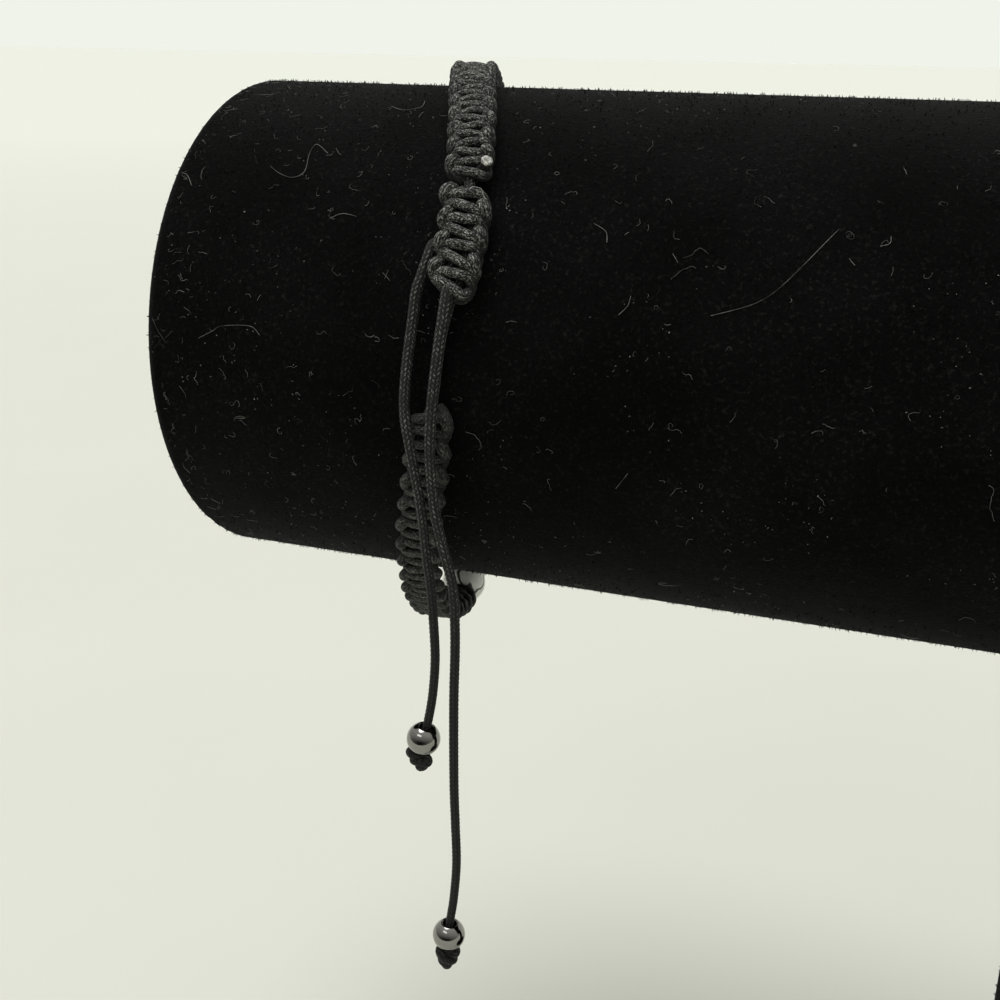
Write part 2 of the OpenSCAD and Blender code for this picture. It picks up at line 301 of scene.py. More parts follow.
cord_tree, given, end = new_tree("braided_cord", diameter="length", ring_gap="length",
                                 sides="count", relief="length", material="material")
route = add(cord_tree, "GeometryNodeMeshToCurve", given["Geometry"])
route = add(cord_tree, "GeometryNodeResampleCurve", route, mode="LENGTH",
            sockets={"Length": given["ring gap"]})
spline = add(cord_tree, "GeometryNodeSplineParameter")
route = add(cord_tree, "GeometryNodeStoreNamedAttribute", route,
            sockets={"Name": "along", "Value": spline.outputs["Length"]})
ring_radius = add(cord_tree, "ShaderNodeMath", given["diameter"], 0.5, operation="MULTIPLY")
ring = add(cord_tree, "GeometryNodeCurvePrimitiveCircle", given["sides"], ring_radius)
ring = add(cord_tree, "GeometryNodeStoreNamedAttribute", ring,
           sockets={"Name": "around", "Value": spline.outputs["Factor"]})
thick = add(cord_tree, "GeometryNodeInputNamedAttribute", "thick")
scale = add(cord_tree, "GeometryNodeSwitch", thick.outputs["Exists"], 1.0,
            thick.outputs["Attribute"], input_type="FLOAT")
tube = add(cord_tree, "GeometryNodeCurveToMesh", route, ring, scale, True)
around = add(cord_tree, "GeometryNodeInputNamedAttribute", "around")
along = add(cord_tree, "GeometryNodeInputNamedAttribute", "along")
angle = add(cord_tree, "ShaderNodeMath", around, 2 * pi, operation="MULTIPLY")
turned = [add(cord_tree, "ShaderNodeMath", angle, operation=name) for name in ("COSINE", "SINE")]
braid = add(cord_tree, "ShaderNodeCombineXYZ", *turned, along)
tube = add(cord_tree, "GeometryNodeStoreNamedAttribute", tube, data_type="FLOAT_VECTOR",
           sockets={"Name": "braid", "Value": braid})
# The material counts the turn from half a turn further round
half_on = add(cord_tree, "ShaderNodeMath", around, 0.5, operation="ADD")
height, strand_key = braid_pattern(cord_tree, half_on, along)
rise = add(cord_tree, "ShaderNodeMath", height, 0.5, operation="SUBTRACT")
rise = add(cord_tree, "ShaderNodeMath", rise, given["relief"], operation="MULTIPLY")
normal = add(cord_tree, "GeometryNodeInputNormal")
lifted = add(cord_tree, "ShaderNodeVectorMath", normal, operation="SCALE", sockets={"Scale": rise})
tube = add(cord_tree, "GeometryNodeSetPosition", tube, sockets={"Offset": lifted})
for name in ("along", "around", "thick"):
    tube = add(cord_tree, "GeometryNodeRemoveAttribute", tube, sockets={"Name": name})
finish_tree(cord_tree, tube, given["material"], end)


def chains(name, *rows, thickness=None):
    """One object of edges: a chain along each row of points."""
    mesh = bpy.data.meshes.new(name)
    points = [tuple(p) for row in rows for p in row]
    firsts = [sum(len(row) for row in rows[:i]) for i in range(len(rows))]
    edges = [(first + k, first + k + 1) for first, row in zip(firsts, rows) for k in range(len(row) - 1)]
    mesh.from_pydata(points, edges, [])
    if thickness:
        mesh.attributes.new("thick", "FLOAT", "POINT").data.foreach_set("value", thickness)
    return new_piece(name, mesh)


def run_tree(piece, tree, **values):
    """Runs a tree on an object and leaves the object as the plain mesh that comes out."""
    modifier = piece.modifiers.new("shape", "NODES")
    modifier.node_group = tree
    for item in tree.interface.items_tree:
        title = item.name.replace(" ", "_")
        if item.in_out == "INPUT" and title in values:
            modifier[item.identifier] = values[title]
    graph = bpy.context.evaluated_depsgraph_get()
    mesh = bpy.data.meshes.new_from_object(piece.evaluated_get(graph), preserve_all_data_layers=True,
                                           depsgraph=graph)
    piece.modifiers.remove(modifier)
    piece.data = mesh
    mesh.name = piece.name
    return piece


def triangles(piece):
    return sum(len(face.vertices) - 2 for face in piece.data.polygons)


def dress(piece, node=None):
    """The finished piece rides on the model and may stand for a CAD node."""
    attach(piece, "root")
    print(piece.name, triangles(piece), "triangles", end="")
    if node:
        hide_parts(node)
        low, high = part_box(node)
        grown = max(max(*(low - Vector(c)), *(Vector(c) - high)) for c in piece.bound_box)
        print(", at most", round(grown / MM, 2), "mm past its CAD box", end="")
    print()
    return piece


print("trees:", [tree.name for tree in bpy.data.node_groups])

# %% [markdown]
# The two tails are free cord that hangs from the slider over the front of the bar. Their
# routes are the CAD model's own points, measured from the left end of the bar's axis. A
# Catmull-Rom curve makes them smooth.

# %% Routes of the tails
bar_low, bar_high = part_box("display_bar")
AXIS_START = Vector((bar_low.x, 0, (bar_low.z + bar_high.z) / 2))
# Columns of the routes, in mm: distance from the bar's left end, then Y and Z from its axis
TAIL_A = [
    [38.4, -31.9, 10.9], [38.4, -32.8, 8.6], [38.3, -33.7, 5.7], [38.1, -34.3, 2.4],
    [37.9, -34.7, -1.0], [37.8, -34.9, -4.6], [38.0, -34.9, -8.5], [38.5, -34.9, -12.4],
    [39.1, -34.9, -15.0], [39.9, -34.9, -17.9], [40.5, -34.9, -20.2], [40.8, -34.9, -23.4],
    [40.9, -34.9, -28.0], [40.8, -34.9, -34.6], [40.9, -34.9, -44.8], [41.1, -34.9, -50.0],
    [41.3, -34.9, -55.6], [41.0, -34.9, -60.5], [40.6, -34.9, -63.6], [40.4, -34.9, -65.9],
    [40.3, -34.9, -67.9]]
TAIL_B = [
    [35.4, -28.4, 15.4], [35.2, -29.2, 14.2], [34.8, -29.9, 12.4], [34.4, -30.5, 10.6],
    [34.3, -31.2, 7.8], [34.2, -32.1, 4.7], [34.3, -33.2, 1.7], [34.5, -34.0, -0.7],
    [35.0, -34.7, -2.8], [35.5, -34.9, -5.0], [36.0, -34.9, -7.7], [36.5, -34.9, -10.2],
    [37.0, -34.9, -13.4], [37.5, -34.9, -17.9], [38.0, -34.9, -21.5], [38.4, -34.9, -26.6],
    [38.5, -34.9, -30.0], [38.2, -34.9, -34.2], [37.6, -34.9, -37.8], [37.1, -34.9, -39.9],
    [36.6, -34.9, -41.9]]
CORE_RUN = [
    [38.1, -29.9, 10.1], [37.6, -30.8, 7.2], [37.3, -31.4, 4.2], [37.1, -31.8, 1.3],
    [37.0, -32.3, -1.1]]
# Where the two tails come out of the slider's strands, just above their CAD solids
INSIDE_SLIDER = {"tail_a": [38.5, -31.2, 12.2], "tail_b": [36.6, -27.9, 16.2]}


def between(four, t):
    """Catmull-Rom value between the second and the third of four values."""
    a, b, c, d = four
    return 0.5 * (2 * b + (c - a) * t + (2 * a - 5 * b + 4 * c - d) * t * t
                  + (3 * b - a - 3 * c + d) * t * t * t)


# Steps from one point of a route to the next
ROUTE_STEPS = 8


def smooth_route(points, steps=ROUTE_STEPS):
    rows = [Vector(p) for p in points]
    rows = [rows[0]] + rows + [rows[-1]]
    smooth = [between(rows[i:i + 4], k / steps) for i in range(len(rows) - 3) for k in range(steps)]
    return smooth + [rows[-1]]


def on_bar(points):
    return [AXIS_START + Vector(p) * MM for p in points]


def length_of(points):
    return sum((b - a).length for a, b in zip(points, points[1:]))


tail_routes = {"tail_a": smooth_route(on_bar(TAIL_A)), "tail_b": smooth_route(on_bar(TAIL_B))}
for name, points in tail_routes.items():
    print(name, "is", round(length_of(points) / MM, 1), "mm long")

# %% [markdown]
# An overhand knot stops each tail under its bead. Pulled tight it is a lump: the cord comes
# out of the bead, goes twice round itself, tucks through and shows a short cut end. The
# points of both knots are given in millimetres to the right, away from the camera and up
# from where the cord leaves its bead. The cord is a little thinner towards the beads, where
# it was pulled through them.

# %% Cords of the tails and their end knots
KNOT_TURNS = {
    "tail_a": [
        [0.00, 0.00, 0.60], [0.10, -0.20, -0.15], [0.70, -0.45, -0.40], [0.85, 0.20, -0.45],
        [0.25, 0.80, -0.45], [-0.60, 0.55, -0.45], [-0.85, -0.10, -0.50], [-0.40, -0.70, -0.85],
        [0.35, -0.65, -1.20], [0.62, -0.10, -1.45], [0.25, 0.45, -1.45], [-0.40, 0.35, -1.45],
        [-0.50, -0.20, -1.60], [-0.10, -0.30, -1.95], [0.00, -0.10, -2.40], [0.05, 0.00, -2.85]],
    "tail_b": [
        [0.00, 0.00, 0.60], [-0.10, -0.30, -0.10], [-0.60, -0.40, -0.05], [-0.95, 0.20, -0.20],
        [-0.50, 0.65, -0.55], [0.30, 0.70, -0.80], [0.95, 0.35, -0.85], [1.05, -0.25, -0.80],
        [0.50, -0.65, -0.60], [-0.20, -0.55, -0.65], [-0.30, 0.00, -1.00], [0.05, 0.45, -1.30],
        [0.60, 0.35, -1.40], [0.75, -0.15, -1.40], [0.40, -0.35, -1.45], [0.20, -0.10, -1.60]]}
# Shares of the cord's thickness: in the knot, at its cut tip, what each step back from the
# tip adds, and at the lower end of a tail
KNOT_SWELL = 1.1
KNOT_TIP = 0.6
KNOT_TAPER = 0.07
TAIL_THIN = 0.8


def cord_piece(name, points, ring_gap=0.1 * MM, sides=24, relief=0.07 * MM, thickness=None,
               material=nylon):
    piece = chains(name, points, thickness=thickness)
    return run_tree(piece, cord_tree, diameter=CORD_D, ring_gap=ring_gap, sides=sides,
                    relief=relief, material=material)


def end_knot(name, route, turns):
    up = (route[-1 - ROUTE_STEPS] - route[-1]).normalized()
    away = up.cross(camera_turn @ Vector((1, 0, 0))).normalized()
    right = away.cross(up)
    points = [route[-1] + (right * x + away * y + up * z) * MM for x, y, z in smooth_route(turns)]
    thickness = [min(KNOT_SWELL, KNOT_TIP + KNOT_TAPER * (len(points) - 1 - k)) for k in range(len(points))]
    return cord_piece(name, points, ring_gap=0.12 * MM, relief=0.0, thickness=thickness,
                      material=knotted_nylon)


for name, points in tail_routes.items():
    drawn = on_bar([INSIDE_SLIDER[name]]) + points
    thinner = [1 - (1 - TAIL_THIN) * k / len(drawn) for k in range(len(drawn))]
    dress(cord_piece(name + "_braid", drawn, thickness=thinner), name + "_cord")
    dress(end_knot(name + "_overhand_knot", points, KNOT_TURNS[name]),
                             name + "_knot")

# %% [markdown]
# A drilled bead is turned: its outline runs round the outside, over the rounded edge of the
# hole and back through the bore, and is revolved about the bead's own axis. The outline is
# closed, so the mesh is a ring without any poles.

# %% Turned beads
def turned(name, outline, steps=64):
    """Revolves a closed outline of radius and height about Z, and merges points on the axis."""
    build = bmesh.new()
    rings = [[build.verts.new((r * cos(2 * pi * k / steps), r * sin(2 * pi * k / steps), z))
              for r, z in outline] for k in range(steps)]
    for here, after in zip(rings, rings[1:] + rings[:1]):
        for i in range(len(outline)):
            j = (i + 1) % len(outline)
            build.faces.new((here[i], here[j], after[j], after[i]))
    bmesh.ops.remove_doubles(build, verts=build.verts, dist=0.002 * MM)
    bmesh.ops.dissolve_degenerate(build, edges=build.edges, dist=0.001 * MM)
    bmesh.ops.recalc_face_normals(build, faces=build.faces)
    for face in build.faces:
        face.smooth = True
    mesh = bpy.data.meshes.new(name)
    build.to_mesh(mesh)
    build.free()
    return new_piece(name, mesh)


# The rounded edge starts a little below the end of the sphere, as a share of its radius
EDGE_DROP = 0.2


def bead_outline(diameter, bore, edge, steps=28):
    """Sphere from hole edge to hole edge, a rounded edge at each, and the bore."""
    radius = diameter / 2
    start = atan2(bore / 2 + edge, sqrt(radius ** 2 - (bore / 2 + edge) ** 2))
    angles = [start + (pi - 2 * start) * k / steps for k in range(steps + 1)]
    outside = [(radius * sin(a), radius * cos(a)) for a in angles]
    top = outside[0][1]
    lip = [(bore / 2 + edge * (1 - sin(q)), top - edge * (1 - cos(q)) - edge * EDGE_DROP)
           for q in (pi / 6, pi / 3, pi / 2)]
    return outside + [(r, -z) for r, z in lip] + [(r, z) for r, z in reversed(lip)]


def put(piece, place, along):
    """Turns a piece made round Z so that Z points along, and moves it, in its mesh."""
    turn = along.to_track_quat("Z", "Y").to_matrix().to_4x4()
    piece.data.transform(Matrix.Translation(place) @ turn)
    return piece


def middle(node):
    low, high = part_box(node)
    return (low + high) / 2


TAIL_BEAD_D = 3.9 * MM
TAIL_BEAD_BORE = 1.7 * MM
TAIL_BEAD_EDGE = 0.12 * MM
tail_bead_outline = bead_outline(TAIL_BEAD_D, TAIL_BEAD_BORE, TAIL_BEAD_EDGE)
print("a metal bead's outline has", len(tail_bead_outline), "points")

# %% [markdown]
# The small beads are hematite coloured: brass with a dark gunmetal plating, polished. The
# plating is a metal with hardly any roughness, so what it mirrors is what makes it look
# grey: the pale table behind it, the black bar, and the dark room in front.

# %% Polished gunmetal
def gunmetal_plating():
    material, tree, shader = new_material("polished_gunmetal", {"Metallic": 1.0})
    place = add(tree, "ShaderNodeTexCoord")
    haze = add(tree, "ShaderNodeTexNoise", place.outputs["Object"],
               sockets={"Scale": 1 / (0.5 * MM), "Detail": 4})
    rough = add(tree, "ShaderNodeMapRange", haze.outputs["Fac"], 0.35, 0.75, 0.06, 0.16)
    feed(tree, shader, "Roughness", rough)
    tint = add(tree, "ShaderNodeValToRGB", haze.outputs["Fac"])
    set_stops(tint, (0.0, "#807f7c"), (1.0, "#999793"))
    feed(tree, shader, "Base Color", tint)
    dents = add(tree, "ShaderNodeBump", sockets={"Height": haze.outputs["Fac"], "Strength": 0.15,
                                                 "Distance": 0.02 * MM})
    feed(tree, shader, "Normal", dents)
    return material


gunmetal = gunmetal_plating()
for name, route in tail_routes.items():
    bead = turned(name + "_metal_bead", tail_bead_outline)
    bead.data.materials.append(gunmetal)
    put(bead, middle(name + "_bead"), (route[-1] - route[-1 - 2 * ROUTE_STEPS]).normalized())
    dress(bead, name + "_bead")

# %% [markdown]
# The bracelet's loop goes once round the bar. Its rows give, every 15 degrees from the front
# over the top, how far the middle of the bracelet is from the bar's axis, and how far from
# the bar's left end. This is the CAD model's own table, and the bands, the slider and the
# beads all follow it.

# %% The loop
# Columns, in mm: distance from the bar's axis, distance from the bar's left end
LOOP = [
    [32.4, 37.4], [32.3, 38.8], [32.3, 38.9], [32.3, 37.5], [32.3, 35.2], [32.3, 32.1],
    [32.3, 29.2], [32.3, 26.8], [32.5, 24.9], [33.5, 23.6], [34.3, 22.6], [34.2, 22.2],
    [34.2, 21.8], [34.4, 21.9], [35.1, 22.4], [36.1, 23.2], [37.0, 24.4], [37.5, 25.9],
    [37.2, 27.6], [36.2, 29.3], [35.4, 31.0], [34.6, 32.6], [33.5, 34.2], [32.6, 36.1]]
LOOP_STEP = 360 / len(LOOP)


def loop_point(degrees):
    """Middle of the bracelet at an angle on the loop."""
    i = floor(degrees / LOOP_STEP)
    rows = [Vector(LOOP[(i + k) % len(LOOP)]) for k in (-1, 0, 1, 2)]
    radius, across = between(rows, degrees / LOOP_STEP - i)
    a = radians(degrees)
    return AXIS_START + Vector((across, -radius * cos(a), radius * sin(a))) * MM


loop_points = [loop_point(a) for a in range(360 + 1)]
loop_lengths = [0]
for a, b in zip(loop_points, loop_points[1:]):
    loop_lengths.append(loop_lengths[-1] + (b - a).length)


def length_at(degrees):
    """Length along the loop, from the front of the bar to an angle."""
    i = floor(degrees)
    return loop_lengths[i] + (loop_lengths[i + 1] - loop_lengths[i]) * (degrees - i)


def loop_at(length):
    """Place on the loop, and its direction, at a length from the front of the bar."""
    i = next(k for k, total in enumerate(loop_lengths) if total > length) - 1
    share = (length - loop_lengths[i]) / (loop_lengths[i + 1] - loop_lengths[i])
    step = loop_points[i + 1] - loop_points[i]
    return loop_points[i] + step * share, step.normalized()


def beside_loop(length, side, out):
    """A place next to the loop: so far to the right of its middle, and so far outwards."""
    place, direction = loop_at(length)
    radial = Vector((0, place.y, place.z - AXIS_START.z))
    sideways = direction.cross(radial).normalized()
    return place + sideways * side + sideways.cross(direction) * out


print("the loop is", round(loop_lengths[-1] / MM, 1), "mm long")

# %% [markdown]
# A square knot is tied by two working cords round two core cords. Cord A makes every bar
# across the front and cord B every bar across the back. B then comes forward at the sides
# and lies over the ends of two of A's bars, on the left and on the right by turns, as the
# fat lobes along both edges. Each table below is one knot of one cord, drawn flat: how far
# to the side, as a share of the distance to the side loops, how far out, as a share of the
# height of the front bars, how far along, as a share of the knot, and the cord's thickness.

# %% One square knot, drawn flat
def front_cord(level, steep, bar):
    """Cord A: from the right turn over the level bar, the left turn and the steep bar."""
    fall = (level + steep) / 2
    return [
        [0.90, -0.30, -fall, 0.95], [0.78, 0.55, 0.25 - level - 0.02, 0.95],
        [0.42, 0.98, 0.25 - level * 0.55, bar], [0.00, 1.08, 0.25, bar],
        [-0.42, 0.98, 0.25 + level * 0.55, bar], [-0.78, 0.50, 0.25 + level + 0.02, 0.95],
        [-0.90, -0.30, 0.50 + fall, 0.95], [-0.78, 0.55, 0.75 + steep - 0.02, 0.95],
        [-0.42, 0.98, 0.75 + steep * 0.55, bar], [0.00, 1.08, 0.75, bar],
        [0.42, 0.98, 0.75 - steep * 0.55, bar], [0.78, 0.50, 0.75 - steep + 0.02, 0.95]]


def back_cord(level, steep, rise):
    """Cord B: the left lobe over two bars, across the back, the right lobe and back again."""
    lobe = [[0.82, -0.30, -0.34, 0.95], [1.00, 0.25, -0.14, 1.08], [1.03, 0.75, 0.04, 1.12],
            [0.95, 1.00, 0.22, 1.16], [0.72, 0.35, 0.42, 1.00]]
    left = (steep + level) / 2 + rise
    right = 0.5 - (steep + level) / 2 + rise
    rows = []
    for side, middle, after in ((-1, left, right), (1, right, left + 1)):
        rows += [[side * across, out, middle + on, thick] for across, out, on, thick in lobe]
        top, bottom = middle + lobe[-1][2], after + lobe[0][2]
        rows += [[side * share, -0.90, top + (bottom - top) * (0.5 - share * 0.6), 0.95]
                 for share in (0.40, -0.40)]
    return rows


def core_cord(side):
    """A core cord lies just behind the middle of the band."""
    return [[side, -0.05, 0.0, 1.0], [side, -0.05, 0.5, 1.0]]


def knot_table(name, rows):
    mesh = bpy.data.meshes.new(name)
    mesh.from_pydata([row[:3] for row in rows], [], [])
    mesh.attributes.new("thick", "FLOAT", "POINT").data.foreach_set("value", [row[3] for row in rows])
    return bpy.data.objects.new(name, mesh)


print("one knot is", len(front_cord(0, 0, 1)), "points of cord A and", len(back_cord(0, 0, 0)), "of cord B")

# %% [markdown]
# Geometry Nodes repeats that knot. Point number i of a cord is row i of the table, modulo
# the number of rows, moved on by one knot each time the table starts again. As no two knots
# are tied alike, each point strays a little. A cord's first and last points are tucked in,
# so that no cut end shows, and the points become a smooth curve.

# %% A Geometry Nodes tree for one cord of a band, drawn flat
BAND_INPUTS = {
    "start": "length", "knots": "count", "knot_length": "length", "phase": "length",
    "skipped_rows": "count", "arm": "length", "foot_pull": "length", "front": "length", "lift": "length",
    "axis_height": "length", "diameter": "length", "ring_gap": "length", "sides": "count", "seed": "count",
    "material": "material"}
# How unlike two knots are: shares of the arm and of the front's height, and of a knot's length
UNLIKE = Vector((0.04, 0.08, 0.025))
# How near the middle of the band a cord's two ends are tucked
TUCKED = 0.3
# Over how many knots the pull at a band's foot fades
PULLED_KNOTS = 2.0

strand_tree, given, end = new_tree("knotted_strand", table="object", **BAND_INPUTS)
table = add(strand_tree, "GeometryNodeObjectInfo", given["table"]).outputs["Geometry"]
rows = add(strand_tree, "GeometryNodeAttributeDomainSize", table).outputs["Point Count"]
last = add(strand_tree, "ShaderNodeMath", rows, given["knots"], operation="MULTIPLY")
last = add(strand_tree, "ShaderNodeMath", last, given["skipped rows"], operation="SUBTRACT")
count = add(strand_tree, "ShaderNodeMath", last, 1, operation="ADD")
point = add(strand_tree, "GeometryNodeInputIndex")
index = add(strand_tree, "ShaderNodeMath", rows, given["phase"], given["skipped rows"],
            operation="MULTIPLY_ADD")
index = add(strand_tree, "ShaderNodeMath", index, point, operation="ADD")
# A little is added before rounding down, as a whole number may come out just too small
knot = add(strand_tree, "ShaderNodeMath", index, rows, operation="DIVIDE")
knot = add(strand_tree, "ShaderNodeMath", knot, 0.001, operation="ADD")
knot = add(strand_tree, "ShaderNodeMath", knot, operation="FLOOR")
row = add(strand_tree, "ShaderNodeMath", index, rows, operation="MODULO")
flat = add(strand_tree, "GeometryNodeSampleIndex", table, add(strand_tree, "GeometryNodeInputPosition"),
           row, data_type="FLOAT_VECTOR")
thick = add(strand_tree, "GeometryNodeSampleIndex", table,
            add(strand_tree, "GeometryNodeInputNamedAttribute", "thick"), row)
stray = add(strand_tree, "FunctionNodeRandomValue", -UNLIKE, UNLIKE, data_type="FLOAT_VECTOR",
            sockets={"Seed": given["seed"]})
flat = add(strand_tree, "ShaderNodeVectorMath", flat, stray, operation="ADD")
flat = add(strand_tree, "ShaderNodeSeparateXYZ", flat)
# Only the points between a cord's first and last are not tucked in
first_point = add(strand_tree, "ShaderNodeMath", point, 0.5, operation="GREATER_THAN")
last_point = add(strand_tree, "ShaderNodeMath", point, last, operation="LESS_THAN")
inner = add(strand_tree, "ShaderNodeMath", first_point, last_point, operation="MULTIPLY")
tuck = add(strand_tree, "ShaderNodeMath", inner, 1 - TUCKED, TUCKED, operation="MULTIPLY_ADD")
side = add(strand_tree, "ShaderNodeMath", flat.outputs["X"], given["arm"], operation="MULTIPLY")
side = add(strand_tree, "ShaderNodeMath", side, tuck, operation="MULTIPLY")
out = add(strand_tree, "ShaderNodeMath", flat.outputs["Y"], given["front"], operation="MULTIPLY")
out = add(strand_tree, "ShaderNodeMath", out, tuck, given["lift"], operation="MULTIPLY_ADD")
on = add(strand_tree, "ShaderNodeMath", flat.outputs["Z"], knot, operation="ADD")
on = add(strand_tree, "ShaderNodeMath", on, given["phase"], operation="SUBTRACT")
# At its foot a band may be pulled to the left
foot = add(strand_tree, "ShaderNodeMapRange", on, 0.0, PULLED_KNOTS, given["foot pull"], 0.0)
side = add(strand_tree, "ShaderNodeMath", side, foot, operation="SUBTRACT")
on = add(strand_tree, "ShaderNodeMath", on, given["knot length"], given["start"], operation="MULTIPLY_ADD")
strand = add(strand_tree, "GeometryNodeMeshLine", sockets={"Count": count})
strand = add(strand_tree, "GeometryNodeStoreNamedAttribute", strand,
             sockets={"Name": "thick", "Value": thick})
strand = add(strand_tree, "GeometryNodeSetPosition", strand,
             sockets={"Position": add(strand_tree, "ShaderNodeCombineXYZ", side, out, on)})
strand = add(strand_tree, "GeometryNodeMeshToCurve", strand)
strand = add(strand_tree, "GeometryNodeCurveSplineType", strand, spline_type="CATMULL_ROM")
strand = add(strand_tree, "GeometryNodeResampleCurve", strand, mode="LENGTH",
             sockets={"Length": given["ring gap"]})
print("a cord drawn flat takes", len(strand_tree.nodes), "nodes")

# %% [markdown]
# The flat curve is bent round the bar: its third coordinate becomes a length along the loop,
# and the other two go sideways and outwards from there.

# %% The same tree bends the cord round the bar
drawn = add(strand_tree, "ShaderNodeSeparateXYZ", add(strand_tree, "GeometryNodeInputPosition"))
loop = add(strand_tree, "GeometryNodeMeshToCurve", given["Geometry"])
bent = add(strand_tree, "GeometryNodeSampleCurve", loop, mode="LENGTH",
           sockets={"Length": drawn.outputs["Z"]})
axis = add(strand_tree, "ShaderNodeCombineXYZ", 0, 0, given["axis height"])
radial = add(strand_tree, "ShaderNodeVectorMath", bent.outputs["Position"], axis, operation="SUBTRACT")
radial = add(strand_tree, "ShaderNodeVectorMath", radial, (0, 1, 1), operation="MULTIPLY")
sideways = add(strand_tree, "ShaderNodeVectorMath", bent.outputs["Tangent"], radial,
               operation="CROSS_PRODUCT")
sideways = add(strand_tree, "ShaderNodeVectorMath", sideways, operation="NORMALIZE")
outwards = add(strand_tree, "ShaderNodeVectorMath", sideways, bent.outputs["Tangent"],
               operation="CROSS_PRODUCT")
place = bent.outputs["Position"]
for direction, distance in ((sideways, drawn.outputs["X"]), (outwards, drawn.outputs["Y"])):
    step = add(strand_tree, "ShaderNodeVectorMath", direction, operation="SCALE",
               sockets={"Scale": distance})
    place = add(strand_tree, "ShaderNodeVectorMath", place, step, operation="ADD")
print("with its bend, the cord takes", len(strand_tree.nodes), "nodes")

# %% [markdown]
# The tree of the braided cord then makes the curve a tube. The attribute "crown", which the
# material reads, is 1 where the cord lies at the front of the band and its surface looks
# straight out. It falls towards the middle of the band, and to 0 where the surface looks back.
# The material keeps its painted highlights where "crown" is high and paints shade where it is low.

# %% The same tree makes the tube and marks its crowns
# What a cord in the middle of the band keeps of its crown, so deeper cords get more painted shade
INNER_CROWN = 0.35
lying_out = add(strand_tree, "ShaderNodeMapRange", drawn.outputs["Y"], 0.0, given["front"],
                INNER_CROWN, 1.0)
outwards = add(strand_tree, "ShaderNodeVectorMath", outwards, operation="SCALE",
               sockets={"Scale": lying_out})
strand = add(strand_tree, "GeometryNodeStoreNamedAttribute", strand, data_type="FLOAT_VECTOR",
             sockets={"Name": "outwards", "Value": outwards})
strand = add(strand_tree, "GeometryNodeSetPosition", strand, sockets={"Position": place})
edges = add(strand_tree, "GeometryNodeCurveToMesh", strand)
tube = add(strand_tree, "GeometryNodeGroup", edges, node_tree=cord_tree,
           sockets={title: given[title] for title in ("diameter", "ring gap", "sides", "material")})
outwards = add(strand_tree, "GeometryNodeInputNamedAttribute", "outwards", data_type="FLOAT_VECTOR")
looking_out = add(strand_tree, "ShaderNodeVectorMath", outwards,
                  add(strand_tree, "GeometryNodeInputNormal"), operation="DOT_PRODUCT")
lying_out = add(strand_tree, "ShaderNodeVectorMath", outwards, operation="LENGTH")
crown = add(strand_tree, "ShaderNodeMath", looking_out.outputs["Value"], lying_out.outputs["Value"],
            operation="ADD")
crown = add(strand_tree, "ShaderNodeMath", crown, 0.5, operation="MULTIPLY")
tube = add(strand_tree, "GeometryNodeStoreNamedAttribute", tube,
           sockets={"Name": "crown", "Value": crown})
tube = add(strand_tree, "GeometryNodeRemoveAttribute", tube, sockets={"Name": "outwards"})
strand_tree.links.new(tube.outputs[0], end.inputs[0])
print("the whole cord takes", len(strand_tree.nodes), "nodes")

# %% [markdown]
# A band is four such cords in one tree: the two working cords and the two core cords. Every
# input of the band goes on to all four, apart from the table of points, which is each
# cord's own, and the rows that only cord B skips.

# %% A Geometry Nodes tree for a band of square knots
CORDS = ("cord a", "cord b", "core left", "core right")
band_tree, given, end = new_tree("square_knot_band", **{cord.replace(" ", "_"): "object" for cord in CORDS},
                                 **BAND_INPUTS)
together = add(band_tree, "GeometryNodeJoinGeometry")
for title in CORDS:
    group = add(band_tree, "GeometryNodeGroup", node_tree=strand_tree)
    for socket in group.inputs:
        source = title if socket.name == "table" else socket.name
        if source != "skipped rows" or title == "cord b":
            band_tree.links.new(given[source], socket)
    band_tree.links.new(group.outputs[0], together.inputs[0])
finish_tree(band_tree, together, given["material"], end)
# How far from the middle the core cords lie, as a share of the arm
CORE_SIDE = 0.32


def square_knots(name, node, width, thickness, slopes, rise=0.12, bar=1.0, material=knotted_nylon, **more):
    """A band of the given width and thickness that stands for a node of the model.

    Slopes are those of cord A's level and steep bars, rise moves cord B's lobes on, and bar
    is how thick the bars are. More holds the inputs of the tree that differ between bands.
    """
    points = {"cord_a": front_cord(*slopes, bar), "cord_b": back_cord(*slopes, rise),
              "core_left": core_cord(-CORE_SIDE), "core_right": core_cord(CORE_SIDE)}
    tables = {cord: knot_table(name + "_" + cord, rows) for cord, rows in points.items()}
    piece = run_tree(chains(name, loop_points), band_tree, arm=(width - CORD_D) / 2,
                     front=(thickness - CORD_D) / 2, axis_height=AXIS_START.z, diameter=CORD_D,
                     sides=12, material=material, **tables, **more)
    for helper in tables.values():
        bpy.data.objects.remove(helper)
    return dress(piece, node)


print("a band takes", len(band_tree.nodes), "nodes")

# %% [markdown]
# The two bands are tied tight, the lower one a little looser than the upper. The slider holds
# both ends of the core cord and was tied loosely, so dark gaps show between its bars, and
# every second bar falls steeply from left to right. It and the upper band start half a knot
# on, with a steep bar, and their cord B starts on the left: its first lobe on the right is
# skipped.

# %% Bands and slider
UPPER_KNOT_LENGTH, UPPER_KNOTS = 2.7 * MM, 21
LOWER_KNOT_LENGTH, LOWER_KNOTS = 3.05 * MM, 18
SLIDER_KNOT_LENGTH, SLIDER_KNOTS = 2.85 * MM, 4
BAND_W, BAND_T = 5.2 * MM, 2.8 * MM
SLIDER_W, SLIDER_T = 5.6 * MM, 3.3 * MM
SLIDER_FOOT_PULL = 0.6 * MM
